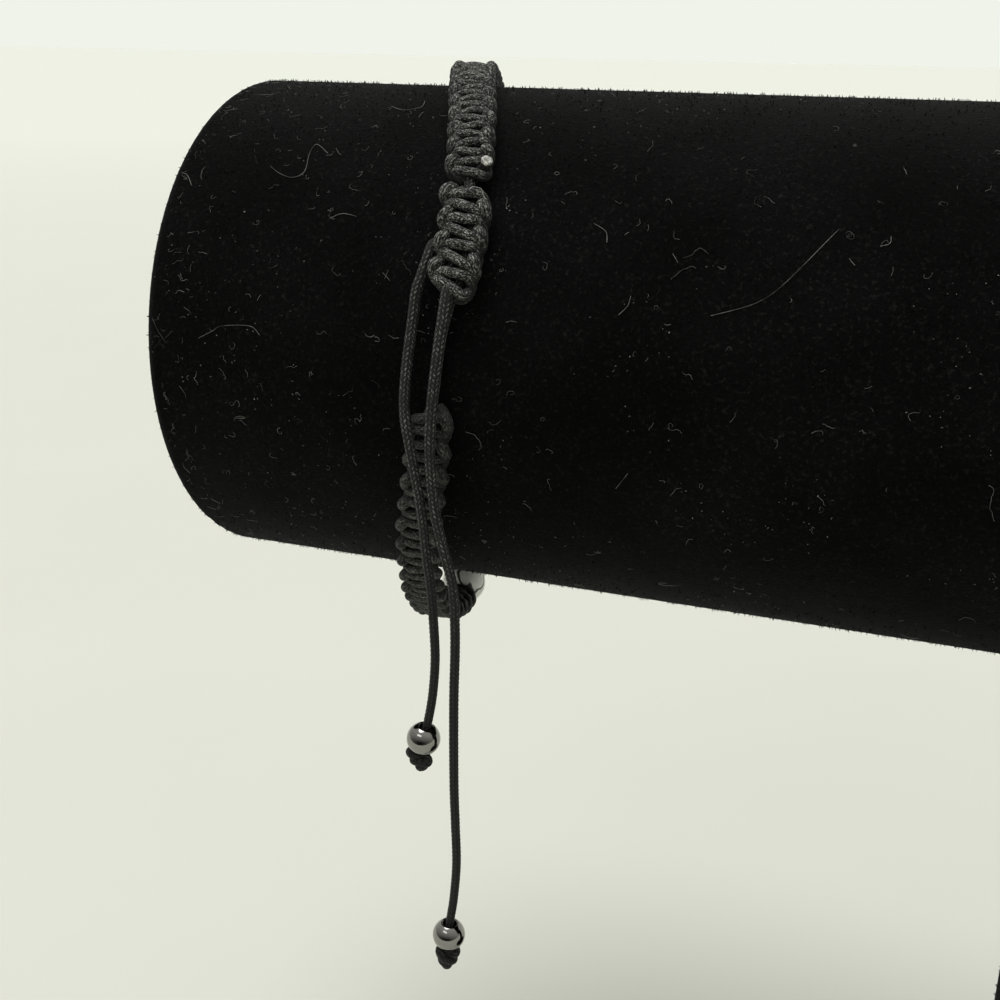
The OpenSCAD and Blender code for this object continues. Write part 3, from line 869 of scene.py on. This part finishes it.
# Angles on the loop, in degrees, where the upper band starts, and the slider and the lower band end
UPPER_BAND_ANGLE, SLIDER_FOOT_ANGLE, LOWER_BAND_ANGLE = 42.2, 19.2, 357.6
# Distances between the rings of a cord's mesh
BAND_RING_GAP, SLIDER_RING_GAP = 0.17 * MM, 0.12 * MM
upper_start = length_at(UPPER_BAND_ANGLE)
slider_start = length_at(SLIDER_FOOT_ANGLE)
lower_start = length_at(LOWER_BAND_ANGLE) - LOWER_KNOTS * LOWER_KNOT_LENGTH
# Half a knot on, and past cord B's first lobe on the right, which has five rows
FROM_STEEP_BAR = {"phase": 0.5, "skipped_rows": 5}
FROM_LEVEL_BAR = {"phase": 0.0, "skipped_rows": 0}
FLAT = {"foot_pull": 0.0, "lift": 0.0, "ring_gap": BAND_RING_GAP}

square_knots("upper_sinnet", "upper_band", BAND_W, BAND_T, slopes=(-0.03, 0.20), bar=0.88,
             start=upper_start, knots=UPPER_KNOTS, knot_length=UPPER_KNOT_LENGTH, seed=1,
             **FROM_STEEP_BAR, **FLAT)
square_knots("lower_sinnet", "lower_band", BAND_W, BAND_T, slopes=(-0.05, -0.15), rise=-0.05,
             material=shaded_nylon, start=lower_start, knots=LOWER_KNOTS,
             knot_length=LOWER_KNOT_LENGTH, seed=2, **FROM_LEVEL_BAR, **FLAT)
slider = square_knots("slider_sinnet", "slider_knot", SLIDER_W, SLIDER_T, slopes=(0.07, 0.25),
                      bar=0.94, start=slider_start, knots=SLIDER_KNOTS,
                      knot_length=SLIDER_KNOT_LENGTH, foot_pull=SLIDER_FOOT_PULL,
                      lift=(SLIDER_T - BAND_T) / 2, ring_gap=SLIDER_RING_GAP, seed=3, **FROM_STEEP_BAR)

# %% [markdown]
# Bare core cord shows in three places: a short stretch between the upper band and the
# slider, a longer one between the slider and the lower band, and inside the stone beads.

# %% Core cords
# Between neighbouring stones, and between the thread and the bands
GAP = 0.12 * MM
slider_end = slider_start + SLIDER_KNOTS * SLIDER_KNOT_LENGTH
stones_start = upper_start + UPPER_KNOTS * UPPER_KNOT_LENGTH


def along_loop(start, stop, step=0.5 * MM):
    count = ceil((stop - start) / step)
    return [loop_at(start + (stop - start) * k / count)[0] for k in range(count + 1)]


# How far the short stretch reaches into the knots at both its ends
INTO_KNOT = 1.0 * MM
top_route = along_loop(slider_end - INTO_KNOT, upper_start + INTO_KNOT)
dress(cord_piece("core_top_cord", top_route), "core_top")
dress(cord_piece("core_run_cord", smooth_route(on_bar(CORE_RUN))), "core_run")
dress(cord_piece("bead_thread_cord", along_loop(stones_start + GAP, lower_start - GAP), ring_gap=0.25 * MM,
                 sides=16, relief=0.05 * MM), "bead_thread")

# %% [markdown]
# Two short ends of the working cords show as well: one comes out from under the slider's
# lowest bar and turns back in, and one leaves the foot of the upper band and was cut there.
# The first is a cord along a few points, placed beside the slider's foot.

# %% A short end of the slider's working cord
# Columns, in mm from the slider's foot: to the right, outwards, along the loop
SLIDER_TURN = [(1.3, -0.4, 1.2), (1.3, -0.1, 0.5), (1.1, 0.1, 0.0), (0.7, 0.15, -0.25),
               (0.2, 0.0, -0.15), (-0.1, -0.3, 0.3)]
slider_turn = [beside_loop(slider_start + on * MM, side * MM, out * MM) for side, out, on in SLIDER_TURN]
dress(cord_piece("slider_foot_turn", smooth_route(slider_turn), material=knotted_nylon))

# %% [markdown]
# The other, cut end is sealed with a flame, as nylon frays. It leaves a small pale disc with
# a dimple, where the strands melted together, on a stub of cord. The disc is turned like a
# bead, from an outline that starts and ends on its axis.

# %% Burnt cord end
def burnt_nylon():
    material, tree, shader = new_material("melted_nylon_end", {"Roughness": 0.4})
    place = add(tree, "ShaderNodeTexCoord")
    lumps = add(tree, "ShaderNodeTexNoise", place.outputs["Object"],
                sockets={"Scale": 1 / (0.3 * MM), "Detail": 3})
    tint = add(tree, "ShaderNodeValToRGB", lumps.outputs["Fac"])
    set_stops(tint, (0.34, "#4a4a48"), (0.56, "#c9c8c2"))
    feed(tree, shader, "Base Color", tint)
    bump = add(tree, "ShaderNodeBump", sockets={"Height": lumps.outputs["Fac"], "Strength": 0.8,
                                                "Distance": 0.1 * MM})
    feed(tree, shader, "Normal", bump)
    return material


# Where the melted end lies: along the loop from the upper band's foot, to the right, outwards,
# and how far to the right it leans for each millimetre outwards
MELT_ALONG, MELT_RIGHT, MELT_OUT, MELT_LEAN = 1.2 * MM, 2.0 * MM, 1.15 * MM, 0.5
# Its stub comes from inside the knot, starts to straighten below the disc and ends in it
ROOT_RIGHT, ROOT_OUT, STUB_BELOW, STUB_INTO = 0.6 * MM, -0.2 * MM, 0.6 * MM, 0.2 * MM
melted_along = upper_start + MELT_ALONG
melted_foot = beside_loop(melted_along, MELT_RIGHT, MELT_OUT)
melted_axis = beside_loop(melted_along, MELT_RIGHT + MELT_LEAN * MM, MELT_OUT + MM) - melted_foot
melted_axis = melted_axis.normalized()
melted_route = [beside_loop(melted_along, ROOT_RIGHT, ROOT_OUT), melted_foot - melted_axis * STUB_BELOW,
                melted_foot + melted_axis * STUB_INTO]
dress(cord_piece("burnt_cord_stub", smooth_route(melted_route), material=knotted_nylon))
DISC_R = 0.62 * MM
# Columns, in shares of the disc's radius: distance from the axis, height
DISC_OUTLINE = [(0, -0.25), (0.8, -0.25), (1.0, 0.05), (1.02, 0.3), (0.9, 0.46), (0.62, 0.52),
                (0.4, 0.4), (0.24, 0.05), (0, -0.05)]
disc = turned("burnt_cord_end", [(r * DISC_R, z * DISC_R) for r, z in DISC_OUTLINE], steps=24)
disc.data.materials.append(burnt_nylon())
put(disc, middle("melted_end"), melted_axis)
dress(disc, "melted_end")

# %% [markdown]
# The stone beads are howlite: a chalky white stone with dark grey veins that are thin
# sheets inside the stone, so on a round bead they show as curved lines. The material bends
# two stacks of planes with noise and darkens the stone where it is close to one. One stone
# shows under the bar's front, so the whole pattern is shifted until veins cross that stone.

# %% Howlite
VEIN_SHIFT = Vector((0.0, 6.0, 8.1)) * MM
VEIN_BEND = 7.0 * MM
# Columns: direction the sheets face, distance between them and width of a vein, in mm
VEIN_SHEETS = (((0.35, 0.5, 0.79), 4.7, 0.32), ((0.8, -0.55, 0.22), 6.9, 0.26))
VEIN_CORE = 0.4


def veined_howlite():
    material, tree, shader = new_material("polished_howlite", {
        "Roughness": 0.28, "Subsurface Weight": 0.08,
        "Subsurface Radius": (0.6 * MM, 0.55 * MM, 0.5 * MM)})
    place = add(tree, "ShaderNodeTexCoord")
    place = add(tree, "ShaderNodeVectorMath", place.outputs["Object"], VEIN_SHIFT, operation="ADD")
    warp = add(tree, "ShaderNodeTexNoise", place.outputs["Vector"],
               sockets={"Scale": 1 / (6.0 * MM), "Detail": 3, "Distortion": 0.4})
    centred = add(tree, "ShaderNodeVectorMath", warp.outputs["Color"], (0.5, 0.5, 0.5),
                  operation="SUBTRACT")
    moved = add(tree, "ShaderNodeVectorMath", centred, operation="SCALE", sockets={"Scale": VEIN_BEND})
    moved = add(tree, "ShaderNodeVectorMath", place.outputs["Vector"], moved, operation="ADD")
    veins = None
    for direction, spacing, width in VEIN_SHEETS:
        along = add(tree, "ShaderNodeVectorMath", moved, direction, operation="DOT_PRODUCT")
        sheet = add(tree, "ShaderNodeMath", along.outputs["Value"], spacing * MM, operation="PINGPONG")
        vein = add(tree, "ShaderNodeMapRange", sheet, width * VEIN_CORE * MM, width * MM, 1.0, 0.0)
        veins = vein if veins is None else add(tree, "ShaderNodeMath", veins, vein, operation="MAXIMUM")
    cloud = add(tree, "ShaderNodeTexNoise", place.outputs["Vector"],
                sockets={"Scale": 1 / (1.5 * MM), "Detail": 4})
    stone = add(tree, "ShaderNodeValToRGB", cloud.outputs["Fac"])
    set_stops(stone, (0.3, "#d9d9d5"), (0.6, "#f4f3ee"))
    veined = add(tree, "ShaderNodeMix", veins, stone, srgb("#26272a"), data_type="RGBA")
    feed(tree, shader, "Base Color", veined)
    return material


howlite = veined_howlite()
STONES = 13
STONE_D = 6.1 * MM
STONE_BORE = 1.8 * MM
STONE_EDGE = 0.25 * MM
stone_pitch = (lower_start - stones_start) / STONES
stone_outline = bead_outline(min(STONE_D, stone_pitch - GAP), STONE_BORE, STONE_EDGE)
for number in range(1, STONES + 1):
    node = "howlite_bead_" + str(number)
    stone = turned("stone_" + str(number), stone_outline, steps=48)
    stone.data.materials.append(howlite)
    put(stone, middle(node), loop_at(stones_start + stone_pitch * (number - 0.5))[1])
    dress(stone, node)

# %% [markdown]
# The bar, its post and its foot are covered in black velvet. Velvet is a cloth with a short
# dense pile: looked at straight it swallows the light, and at a grazing angle the tips of
# the pile glow a little, which is what the sheen of the shader does. The nap leans different
# ways in patches, and the tips show as a fine grain, with lighter clumps where it is brushed.

# %% Black velvet
# Sizes of the grain of tips, of the lighter clumps and of the patches that lean one way
GRAIN, CLUMP, NAP = 0.35 * MM, 0.45 * MM, 14 * MM


def black_velvet():
    material, tree, shader = new_material("black_velvet", {
        "Roughness": 1.0, "Specular IOR Level": 0.1, "Sheen Weight": 0.03, "Sheen Roughness": 0.35})
    place = add(tree, "ShaderNodeTexCoord")
    grain = add(tree, "ShaderNodeTexNoise", place.outputs["Object"],
                sockets={"Scale": 1 / GRAIN, "Detail": 4, "Roughness": 0.7})
    nap = add(tree, "ShaderNodeTexNoise", place.outputs["Object"], sockets={"Scale": 1 / NAP, "Detail": 3})
    both = add(tree, "ShaderNodeMath", grain.outputs["Fac"], nap.outputs["Fac"], operation="MULTIPLY")
    tint = add(tree, "ShaderNodeValToRGB", both)
    set_stops(tint, (0.16, "#010101"), (0.42, "#0a0a0b"))
    clump = add(tree, "ShaderNodeTexNoise", place.outputs["Object"],
                sockets={"Scale": 1 / CLUMP, "Detail": 2, "Roughness": 0.7})
    clump = add(tree, "ShaderNodeMapRange", clump.outputs["Fac"], 0.56, 0.74, 0.0, 1.0)
    brushed = add(tree, "ShaderNodeMapRange", nap.outputs["Fac"], 0.3, 0.7, 0.3, 1.0)
    clump = add(tree, "ShaderNodeMath", clump, brushed, operation="MULTIPLY")
    tint = add(tree, "ShaderNodeMix", clump, tint, srgb("#222221"), data_type="RGBA")
    feed(tree, shader, "Base Color", tint)
    bump = add(tree, "ShaderNodeBump", sockets={"Height": grain.outputs["Fac"], "Strength": 0.7,
                                                "Distance": 0.25 * MM})
    feed(tree, shader, "Normal", bump)
    return material


velvet = black_velvet()
for node in ("display_bar", "display_post", "display_base"):
    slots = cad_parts[node].data.materials
    slots.clear()
    slots.append(velvet)
print("velvet on the bar, the post and the base")

# %% [markdown]
# The pile itself is modelled as short spikes, because at the bar's outline they stand out
# against the pale background as fuzz. Geometry Nodes scatters them over a copy of the CAD
# surface and leans each one a little. A spike is a closed cone of four triangles, and as
# real tufts are far finer and closer, each spike stands for a small bunch of them.

# %% A Geometry Nodes tree for the pile
# None on the underside of the foot, which stands on the table
NO_PILE_BELOW = 0.6 * MM
# Size of the patches that lean one way, how far single spikes stray from it, and their sizes
DRIFT = 9 * MM
SPIKE_STRAY = Vector((0.45, 0.45, 0.45))
SPIKE_SIZES = (0.5, 1.5)

pile_tree, given, end = new_tree("velvet_pile", tufts_per_square_metre="length", height="length",
                                 radius="length", lean="length", seed="count", material="material")
scatter = add(pile_tree, "GeometryNodeDistributePointsOnFaces", given["Geometry"],
              sockets={"Density": given["tufts per square metre"], "Seed": given["seed"]})
position = add(pile_tree, "GeometryNodeInputPosition")
height_up = add(pile_tree, "ShaderNodeSeparateXYZ", position)
off_table = add(pile_tree, "ShaderNodeMath", height_up.outputs["Z"], NO_PILE_BELOW,
                operation="GREATER_THAN")
spike = add(pile_tree, "GeometryNodeMeshCone", fill_type="NGON",
            sockets={"Vertices": 3, "Radius Top": 0.0, "Radius Bottom": given["radius"],
                     "Depth": given["height"]})
drift = add(pile_tree, "ShaderNodeTexNoise", position, sockets={"Scale": 1 / DRIFT, "Detail": 2})
drift = add(pile_tree, "ShaderNodeVectorMath", drift.outputs["Color"], (0.5, 0.5, 0.5),
            operation="SUBTRACT")
drift = add(pile_tree, "ShaderNodeVectorMath", drift, operation="SCALE",
            sockets={"Scale": given["lean"]})
stray = add(pile_tree, "FunctionNodeRandomValue", -SPIKE_STRAY, SPIKE_STRAY, data_type="FLOAT_VECTOR",
            sockets={"Seed": given["seed"]})
pointing = add(pile_tree, "ShaderNodeVectorMath", drift, stray, operation="ADD")
pointing = add(pile_tree, "ShaderNodeVectorMath", pointing, scatter.outputs["Normal"], operation="ADD")
turn = add(pile_tree, "FunctionNodeAlignRotationToVector", sockets={"Vector": pointing}, axis="Z")
size = add(pile_tree, "FunctionNodeRandomValue", *SPIKE_SIZES, sockets={"Seed": given["seed"]})
tufts = add(pile_tree, "GeometryNodeInstanceOnPoints", scatter, sockets={
    "Selection": off_table, "Instance": spike.outputs["Mesh"], "Rotation": turn, "Scale": size})
finish_tree(pile_tree, tufts, given["material"], end)


def clean_copy(name, nodes):
    """Copies of CAD meshes as one object, with the loose triangles joined."""
    build = bmesh.new()
    for node in nodes:
        build.from_mesh(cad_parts[node].data)
    bmesh.ops.remove_doubles(build, verts=build.verts, dist=0.001 * MM)
    mesh = bpy.data.meshes.new(name)
    build.to_mesh(mesh)
    build.free()
    return new_piece(name, mesh)


SPIKE_H, SPIKE_R = 0.26 * MM, 0.055 * MM
# Columns: name, the nodes it grows on, spikes for each square metre, seed
PILES = (("bar_pile", ["display_bar"], 0.85e6, 3),
         ("foot_pile", ["display_post", "display_base"], 0.45e6, 4))
for name, nodes, density, seed in PILES:
    pile = run_tree(clean_copy(name, nodes), pile_tree, tufts_per_square_metre=density,
                    height=SPIKE_H, radius=SPIKE_R, lean=1.2, seed=seed, material=velvet)
    dress(pile)

# %% [markdown]
# Black velvet shows every bit of dust. Thin curly fibres and small specks lie on the bar.
# They are cotton: matt, and lighter where they are not half sunk in the pile. The plainest
# fibres are placed by the pixels at which the photograph shows them: a line of sight
# through each pixel is followed from the camera to the bar.

# %% Lint and the fibres that show plainly
def cotton(name, shaded, bright):
    material, tree, shader = new_material(name, {"Roughness": 0.9})
    place = add(tree, "ShaderNodeTexCoord")
    patch = add(tree, "ShaderNodeTexNoise", place.outputs["Object"],
                sockets={"Scale": 1 / (2.0 * MM), "Detail": 2})
    tint = add(tree, "ShaderNodeValToRGB", patch.outputs["Fac"])
    set_stops(tint, (0.35, shaded), (0.7, bright))
    feed(tree, shader, "Base Color", tint)
    return material


lint = cotton("cotton_lint", "#2e2e2d", "#8f8e8a")
white_fibre = cotton("white_cotton_fibre", "#a5a5a1", "#dededa")
PHOTO_SIZE = 1000
PHOTO_FOCAL = PHOTO_SIZE * camera_data.lens / camera_data.sensor_width
# One row for each fibre. Columns: pixels from the photograph's left edge and from its top
FIBRES_SEEN = [
    [(711, 316), (757, 303), (789, 280), (839, 230)],
    [(271, 167), (280, 174), (293, 178), (305, 172), (310, 154), (317, 145), (328, 154)],
    [(199, 338), (213, 331), (222, 326), (250, 326), (260, 335)],
    [(330, 219), (343, 214), (357, 217)], [(391, 107), (404, 111), (421, 108), (425, 102)],
    [(182, 173), (188, 176), (192, 186)], [(153, 318), (158, 330), (166, 342)],
    [(594, 224), (606, 232), (607, 243)], [(880, 247), (890, 244), (891, 237)],
    [(673, 254), (678, 263)], [(616, 488), (628, 473)], [(619, 315), (628, 306), (631, 296)],
    [(849, 259), (855, 266)], [(419, 118), (422, 114), (424, 113)], [(383, 273), (387, 277), (390, 281)],
    [(389, 270), (385, 279)], [(414, 331), (420, 331), (425, 333)], [(389, 335), (394, 338), (399, 338)]]
bar_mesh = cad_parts["display_bar"].data
bar_surface = BVHTree.FromPolygons([v.co for v in bar_mesh.vertices],
                                   [p.vertices for p in bar_mesh.polygons])


def seen_at(x, y):
    """The place on the bar that shows at a pixel of the photograph."""
    sight = Vector(((x - PHOTO_SIZE / 2) / PHOTO_FOCAL, (PHOTO_SIZE / 2 - y) / PHOTO_FOCAL, -1))
    return bar_surface.ray_cast(CAMERA_PLACE, (camera_turn @ sight).normalized())[0]


seen_fibres = [smooth_route([seen_at(*pixel) for pixel in fibre], steps=5) for fibre in FIBRES_SEEN]
print("the longest fibre is", round(max(map(length_of, seen_fibres)) / MM, 1), "mm long")

# %% [markdown]
# The other fibres stray at random, a few long ones and many short ones, and more of them
# lie towards the bar's left end. All fibres, the white one on the slider too, go through
# one tree. It lays them back on the surface of the piece that carries them, lifts them a
# little and makes each a thin tube with three sides.

# %% Stray fibres
LINT = Random(11)
BAR_R = (bar_high.z - bar_low.z) / 2
FIBRE_STEP = 0.25 * MM
FIBRE_LIFT = 0.12 * MM
LINT_FROM_END = 2 * MM
LINT_CROWDS_LEFT = 2.1
# Columns: how many fibres, fewest and most steps in one, how much it curls at each step
STRAY_KINDS = ((80, 5, 18, 0.35), (1500, 2, 7, 0.65))


def stray_fibre(steps, curl):
    """A random walk on the bar, whose heading keeps turning one way, more or less."""
    turn = LINT.uniform(0, 2 * pi)
    reach = bar_high.x - bar_low.x - 2 * LINT_FROM_END
    across = LINT_FROM_END + reach * LINT.random() ** LINT_CROWDS_LEFT
    place = AXIS_START + Vector((across, BAR_R * cos(turn), BAR_R * sin(turn)))
    round_bar = Vector((0, -sin(turn), cos(turn)))
    heading = LINT.uniform(0, 2 * pi)
    bend = LINT.gauss(0, curl)
    points = [place]
    for _ in range(steps):
        heading += LINT.gauss(bend, curl)
        place = place + (Vector((cos(heading), 0, 0)) + round_bar * sin(heading)) * FIBRE_STEP
        points.append(place)
    return points


stray_fibres = [stray_fibre(LINT.randint(fewest, most), curl)
                for number, fewest, most, curl in STRAY_KINDS for _ in range(number)]

fibre_tree, given, end = new_tree("lint_fibre", lies_on="object", lift="length", thickness="length",
                                  material="material")
bar_shape = add(fibre_tree, "GeometryNodeObjectInfo", given["lies on"]).outputs["Geometry"]
fibre = add(fibre_tree, "GeometryNodeMeshToCurve", given["Geometry"])
nearest = add(fibre_tree, "GeometryNodeProximity", bar_shape)
normal = add(fibre_tree, "GeometryNodeSampleNearestSurface", bar_shape,
             add(fibre_tree, "GeometryNodeInputNormal"), data_type="FLOAT_VECTOR")
lifted = add(fibre_tree, "ShaderNodeVectorMath", normal.outputs["Value"], operation="SCALE",
             sockets={"Scale": given["lift"]})
lifted = add(fibre_tree, "ShaderNodeVectorMath", lifted, nearest.outputs["Position"], operation="ADD")
fibre = add(fibre_tree, "GeometryNodeSetPosition", fibre, sockets={"Position": lifted})
radius = add(fibre_tree, "ShaderNodeMath", given["thickness"], 0.5, operation="MULTIPLY")
ring = add(fibre_tree, "GeometryNodeCurvePrimitiveCircle", 3, radius)
tube = add(fibre_tree, "GeometryNodeCurveToMesh", fibre, ring, sockets={"Fill Caps": True})
finish_tree(fibre_tree, tube, given["material"], end)


# Columns, in mm: to the right of the loop's middle, along it from the slider's upper end
ON_SLIDER = [(0.7, -0.6), (1.1, -0.1), (1.5, 0.2), (1.9, 0.1), (2.3, -0.4), (2.4, -1.0), (2.7, -1.5)]
ABOVE_SLIDER = 1.9 * MM
on_slider = [beside_loop(slider_end + on * MM, side * MM, ABOVE_SLIDER) for side, on in ON_SLIDER]
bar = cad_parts["display_bar"]
# Columns: name, the fibres, what carries them, their thickness and what they are
FIBRES = (("plain_fibres", seen_fibres, bar, 0.06 * MM, lint),
          ("stray_fibres", stray_fibres, bar, 0.04 * MM, lint),
          ("fibre_on_slider", [smooth_route(on_slider)], slider, 0.06 * MM, white_fibre))
for name, rows, carrier, thickness, material in FIBRES:
    dress(run_tree(chains(name, *rows), fibre_tree, lies_on=carrier, lift=FIBRE_LIFT,
                   thickness=thickness, material=material))

# %% [markdown]
# The specks are scattered by the same nodes as the pile. Each is a small lump that leans and
# stretches at random. Noise gathers them in patches: they lie where it is high, and it is
# raised towards the bar's left end, where bracelets are slipped on and the bar is touched.

# %% Specks of dust
SPECKS_PER_M2 = 0.21e6
SPECK_SIZE = 0.07 * MM
DUST_PATCH = 16 * MM
# The noise above which dust lies, how far the dusty end reaches, and what it adds to the noise
DUST_LIES_FROM = 0.55
DUSTY_END = 70 * MM
MORE_DUST = 0.13
speck_tree, given, end = new_tree("lint_specks", specks_per_square_metre="length", size="length",
                                  seed="count", material="material")
scatter = add(speck_tree, "GeometryNodeDistributePointsOnFaces", given["Geometry"],
              sockets={"Density": given["specks per square metre"], "Seed": given["seed"]})
where = add(speck_tree, "GeometryNodeInputPosition")
patch = add(speck_tree, "ShaderNodeTexNoise", where, sockets={"Scale": 1 / DUST_PATCH, "Detail": 2})
along = add(speck_tree, "ShaderNodeSeparateXYZ", where)
left = add(speck_tree, "ShaderNodeMapRange", along.outputs["X"], bar_low.x, bar_low.x + DUSTY_END,
           MORE_DUST, 0.0)
dusty = add(speck_tree, "ShaderNodeMath", patch.outputs["Fac"], left, operation="ADD")
dusty = add(speck_tree, "ShaderNodeMath", dusty, DUST_LIES_FROM, operation="GREATER_THAN")
lump = add(speck_tree, "GeometryNodeMeshIcoSphere", given["size"], 1)
FULL_TURN = (6.3, 6.3, 6.3)
turn = add(speck_tree, "FunctionNodeRandomValue", (0, 0, 0), FULL_TURN, data_type="FLOAT_VECTOR",
           sockets={"Seed": given["seed"]})
stretch = add(speck_tree, "FunctionNodeRandomValue", (0.4, 0.4, 0.4), (1.0, 1.0, 2.4),
              data_type="FLOAT_VECTOR", sockets={"Seed": given["seed"]})
specks = add(speck_tree, "GeometryNodeInstanceOnPoints", scatter, sockets={
    "Selection": dusty, "Instance": lump.outputs["Mesh"], "Rotation": turn, "Scale": stretch})
finish_tree(speck_tree, specks, given["material"], end)

dress(run_tree(clean_copy("lint_specks", ["display_bar"]), speck_tree, size=SPECK_SIZE,
               specks_per_square_metre=SPECKS_PER_M2, seed=5, material=lint))

# %% [markdown]
# The stage is a pale table that runs back to a pale backdrop colour. The polished beads
# mirror what lies in front of them, and there the room is dark. So the table's near part is
# a piece of its own, which the camera sees but mirrors don't.

# %% Table
# In metres: how far the table reaches, where its near part ends, and where it grows paler
TABLE_REACH = 30
TABLE_FRONT = -0.3
PALER_FROM_TO = (0.4, 2.5)


def pale_table():
    material, tree, shader = new_material("matt_white_table", {"Roughness": 0.7})
    place = add(tree, "ShaderNodeTexCoord")
    mottle = add(tree, "ShaderNodeTexNoise", place.outputs["Object"],
                 sockets={"Scale": 12, "Detail": 4})
    tint = add(tree, "ShaderNodeValToRGB", mottle.outputs["Fac"])
    set_stops(tint, (0.0, "#d6d7cd"), (1.0, "#dadbd1"))
    far = add(tree, "ShaderNodeVectorMath", place.outputs["Object"], operation="LENGTH")
    far = add(tree, "ShaderNodeMapRange", far.outputs["Value"], *PALER_FROM_TO, 0.0, 1.0)
    tint = add(tree, "ShaderNodeMix", far, tint, srgb("#e6e8de"), data_type="RGBA")
    feed(tree, shader, "Base Color", tint)
    return material


white_table = pale_table()


def table_part(name, front, back):
    mesh = bpy.data.meshes.new(name)
    corners = [(x * TABLE_REACH, y, 0) for x, y in ((-1, front), (1, front), (1, back), (-1, back))]
    mesh.from_pydata(corners, [], [(0, 1, 2, 3)])
    mesh.materials.append(white_table)
    part = new_piece(name, mesh)
    return part


table_part("table", TABLE_FRONT, TABLE_REACH)
near_table = table_part("near_table", -TABLE_REACH, TABLE_FRONT)
near_table.visible_glossy = False
print("the table's near part ends", -TABLE_FRONT, "m in front of the stand")

# %% [markdown]
# The light is soft, like a shop's on a bright day: a broad sun from above, and a wide window
# in front and to the left. The world's colour depends on where a ray goes: pale towards the
# back and overhead, dark towards the front, and a flat pale backdrop for the camera itself.

# %% Light and backdrop
world = bpy.data.worlds.new("pale_room")
bpy.context.scene.world = world
world.use_nodes = True
room = world.node_tree
background = room.nodes["Background"]
direction = add(room, "ShaderNodeTexCoord")
parts = add(room, "ShaderNodeSeparateXYZ", direction.outputs["Generated"])
to_back = add(room, "ShaderNodeMapRange", parts.outputs["Y"], -1.0, 0.6, 0.0, 1.0)
overhead = add(room, "ShaderNodeMapRange", parts.outputs["Z"], 0.0, 0.9, 0.0, 1.0)
around_bar = add(room, "ShaderNodeMix", to_back, srgb("#1c1c1c"), srgb("#d8dad2"), data_type="RGBA")
shade = add(room, "ShaderNodeMix", overhead, around_bar, srgb("#d6d7d2"), data_type="RGBA")
seen = add(room, "ShaderNodeLightPath")
wall = add(room, "ShaderNodeMix", seen.outputs["Is Camera Ray"], shade, srgb("#f0f3ea"), data_type="RGBA")
feed(room, background, "Color", wall)
background.inputs["Strength"].default_value = 1.0


def lamp(kind, name, place, aim, **settings):
    data = bpy.data.lights.new(name, kind)
    for setting, value in settings.items():
        setattr(data, setting, value)
    turn = (Vector(aim) - Vector(place)).to_track_quat("-Z", "Y").to_matrix().to_4x4()
    new_piece(name, data).matrix_world = Matrix.Translation(Vector(place)) @ turn


LIT_SPOT = (-0.08, 0, 0.12)
lamp("SUN", "bright_ceiling", (-0.25, -0.1, 1.1), LIT_SPOT, energy=1.6, angle=radians(35))
lamp("AREA", "window", (-0.3, -0.7, 0.75), LIT_SPOT, energy=0.6, shape="RECTANGLE", size=0.5, size_y=0.16)

scene_view = bpy.context.scene.view_settings
scene_view.view_transform = "Standard"
scene_view.look = "None"
print("lamps:", [light.name for light in bpy.data.lights])
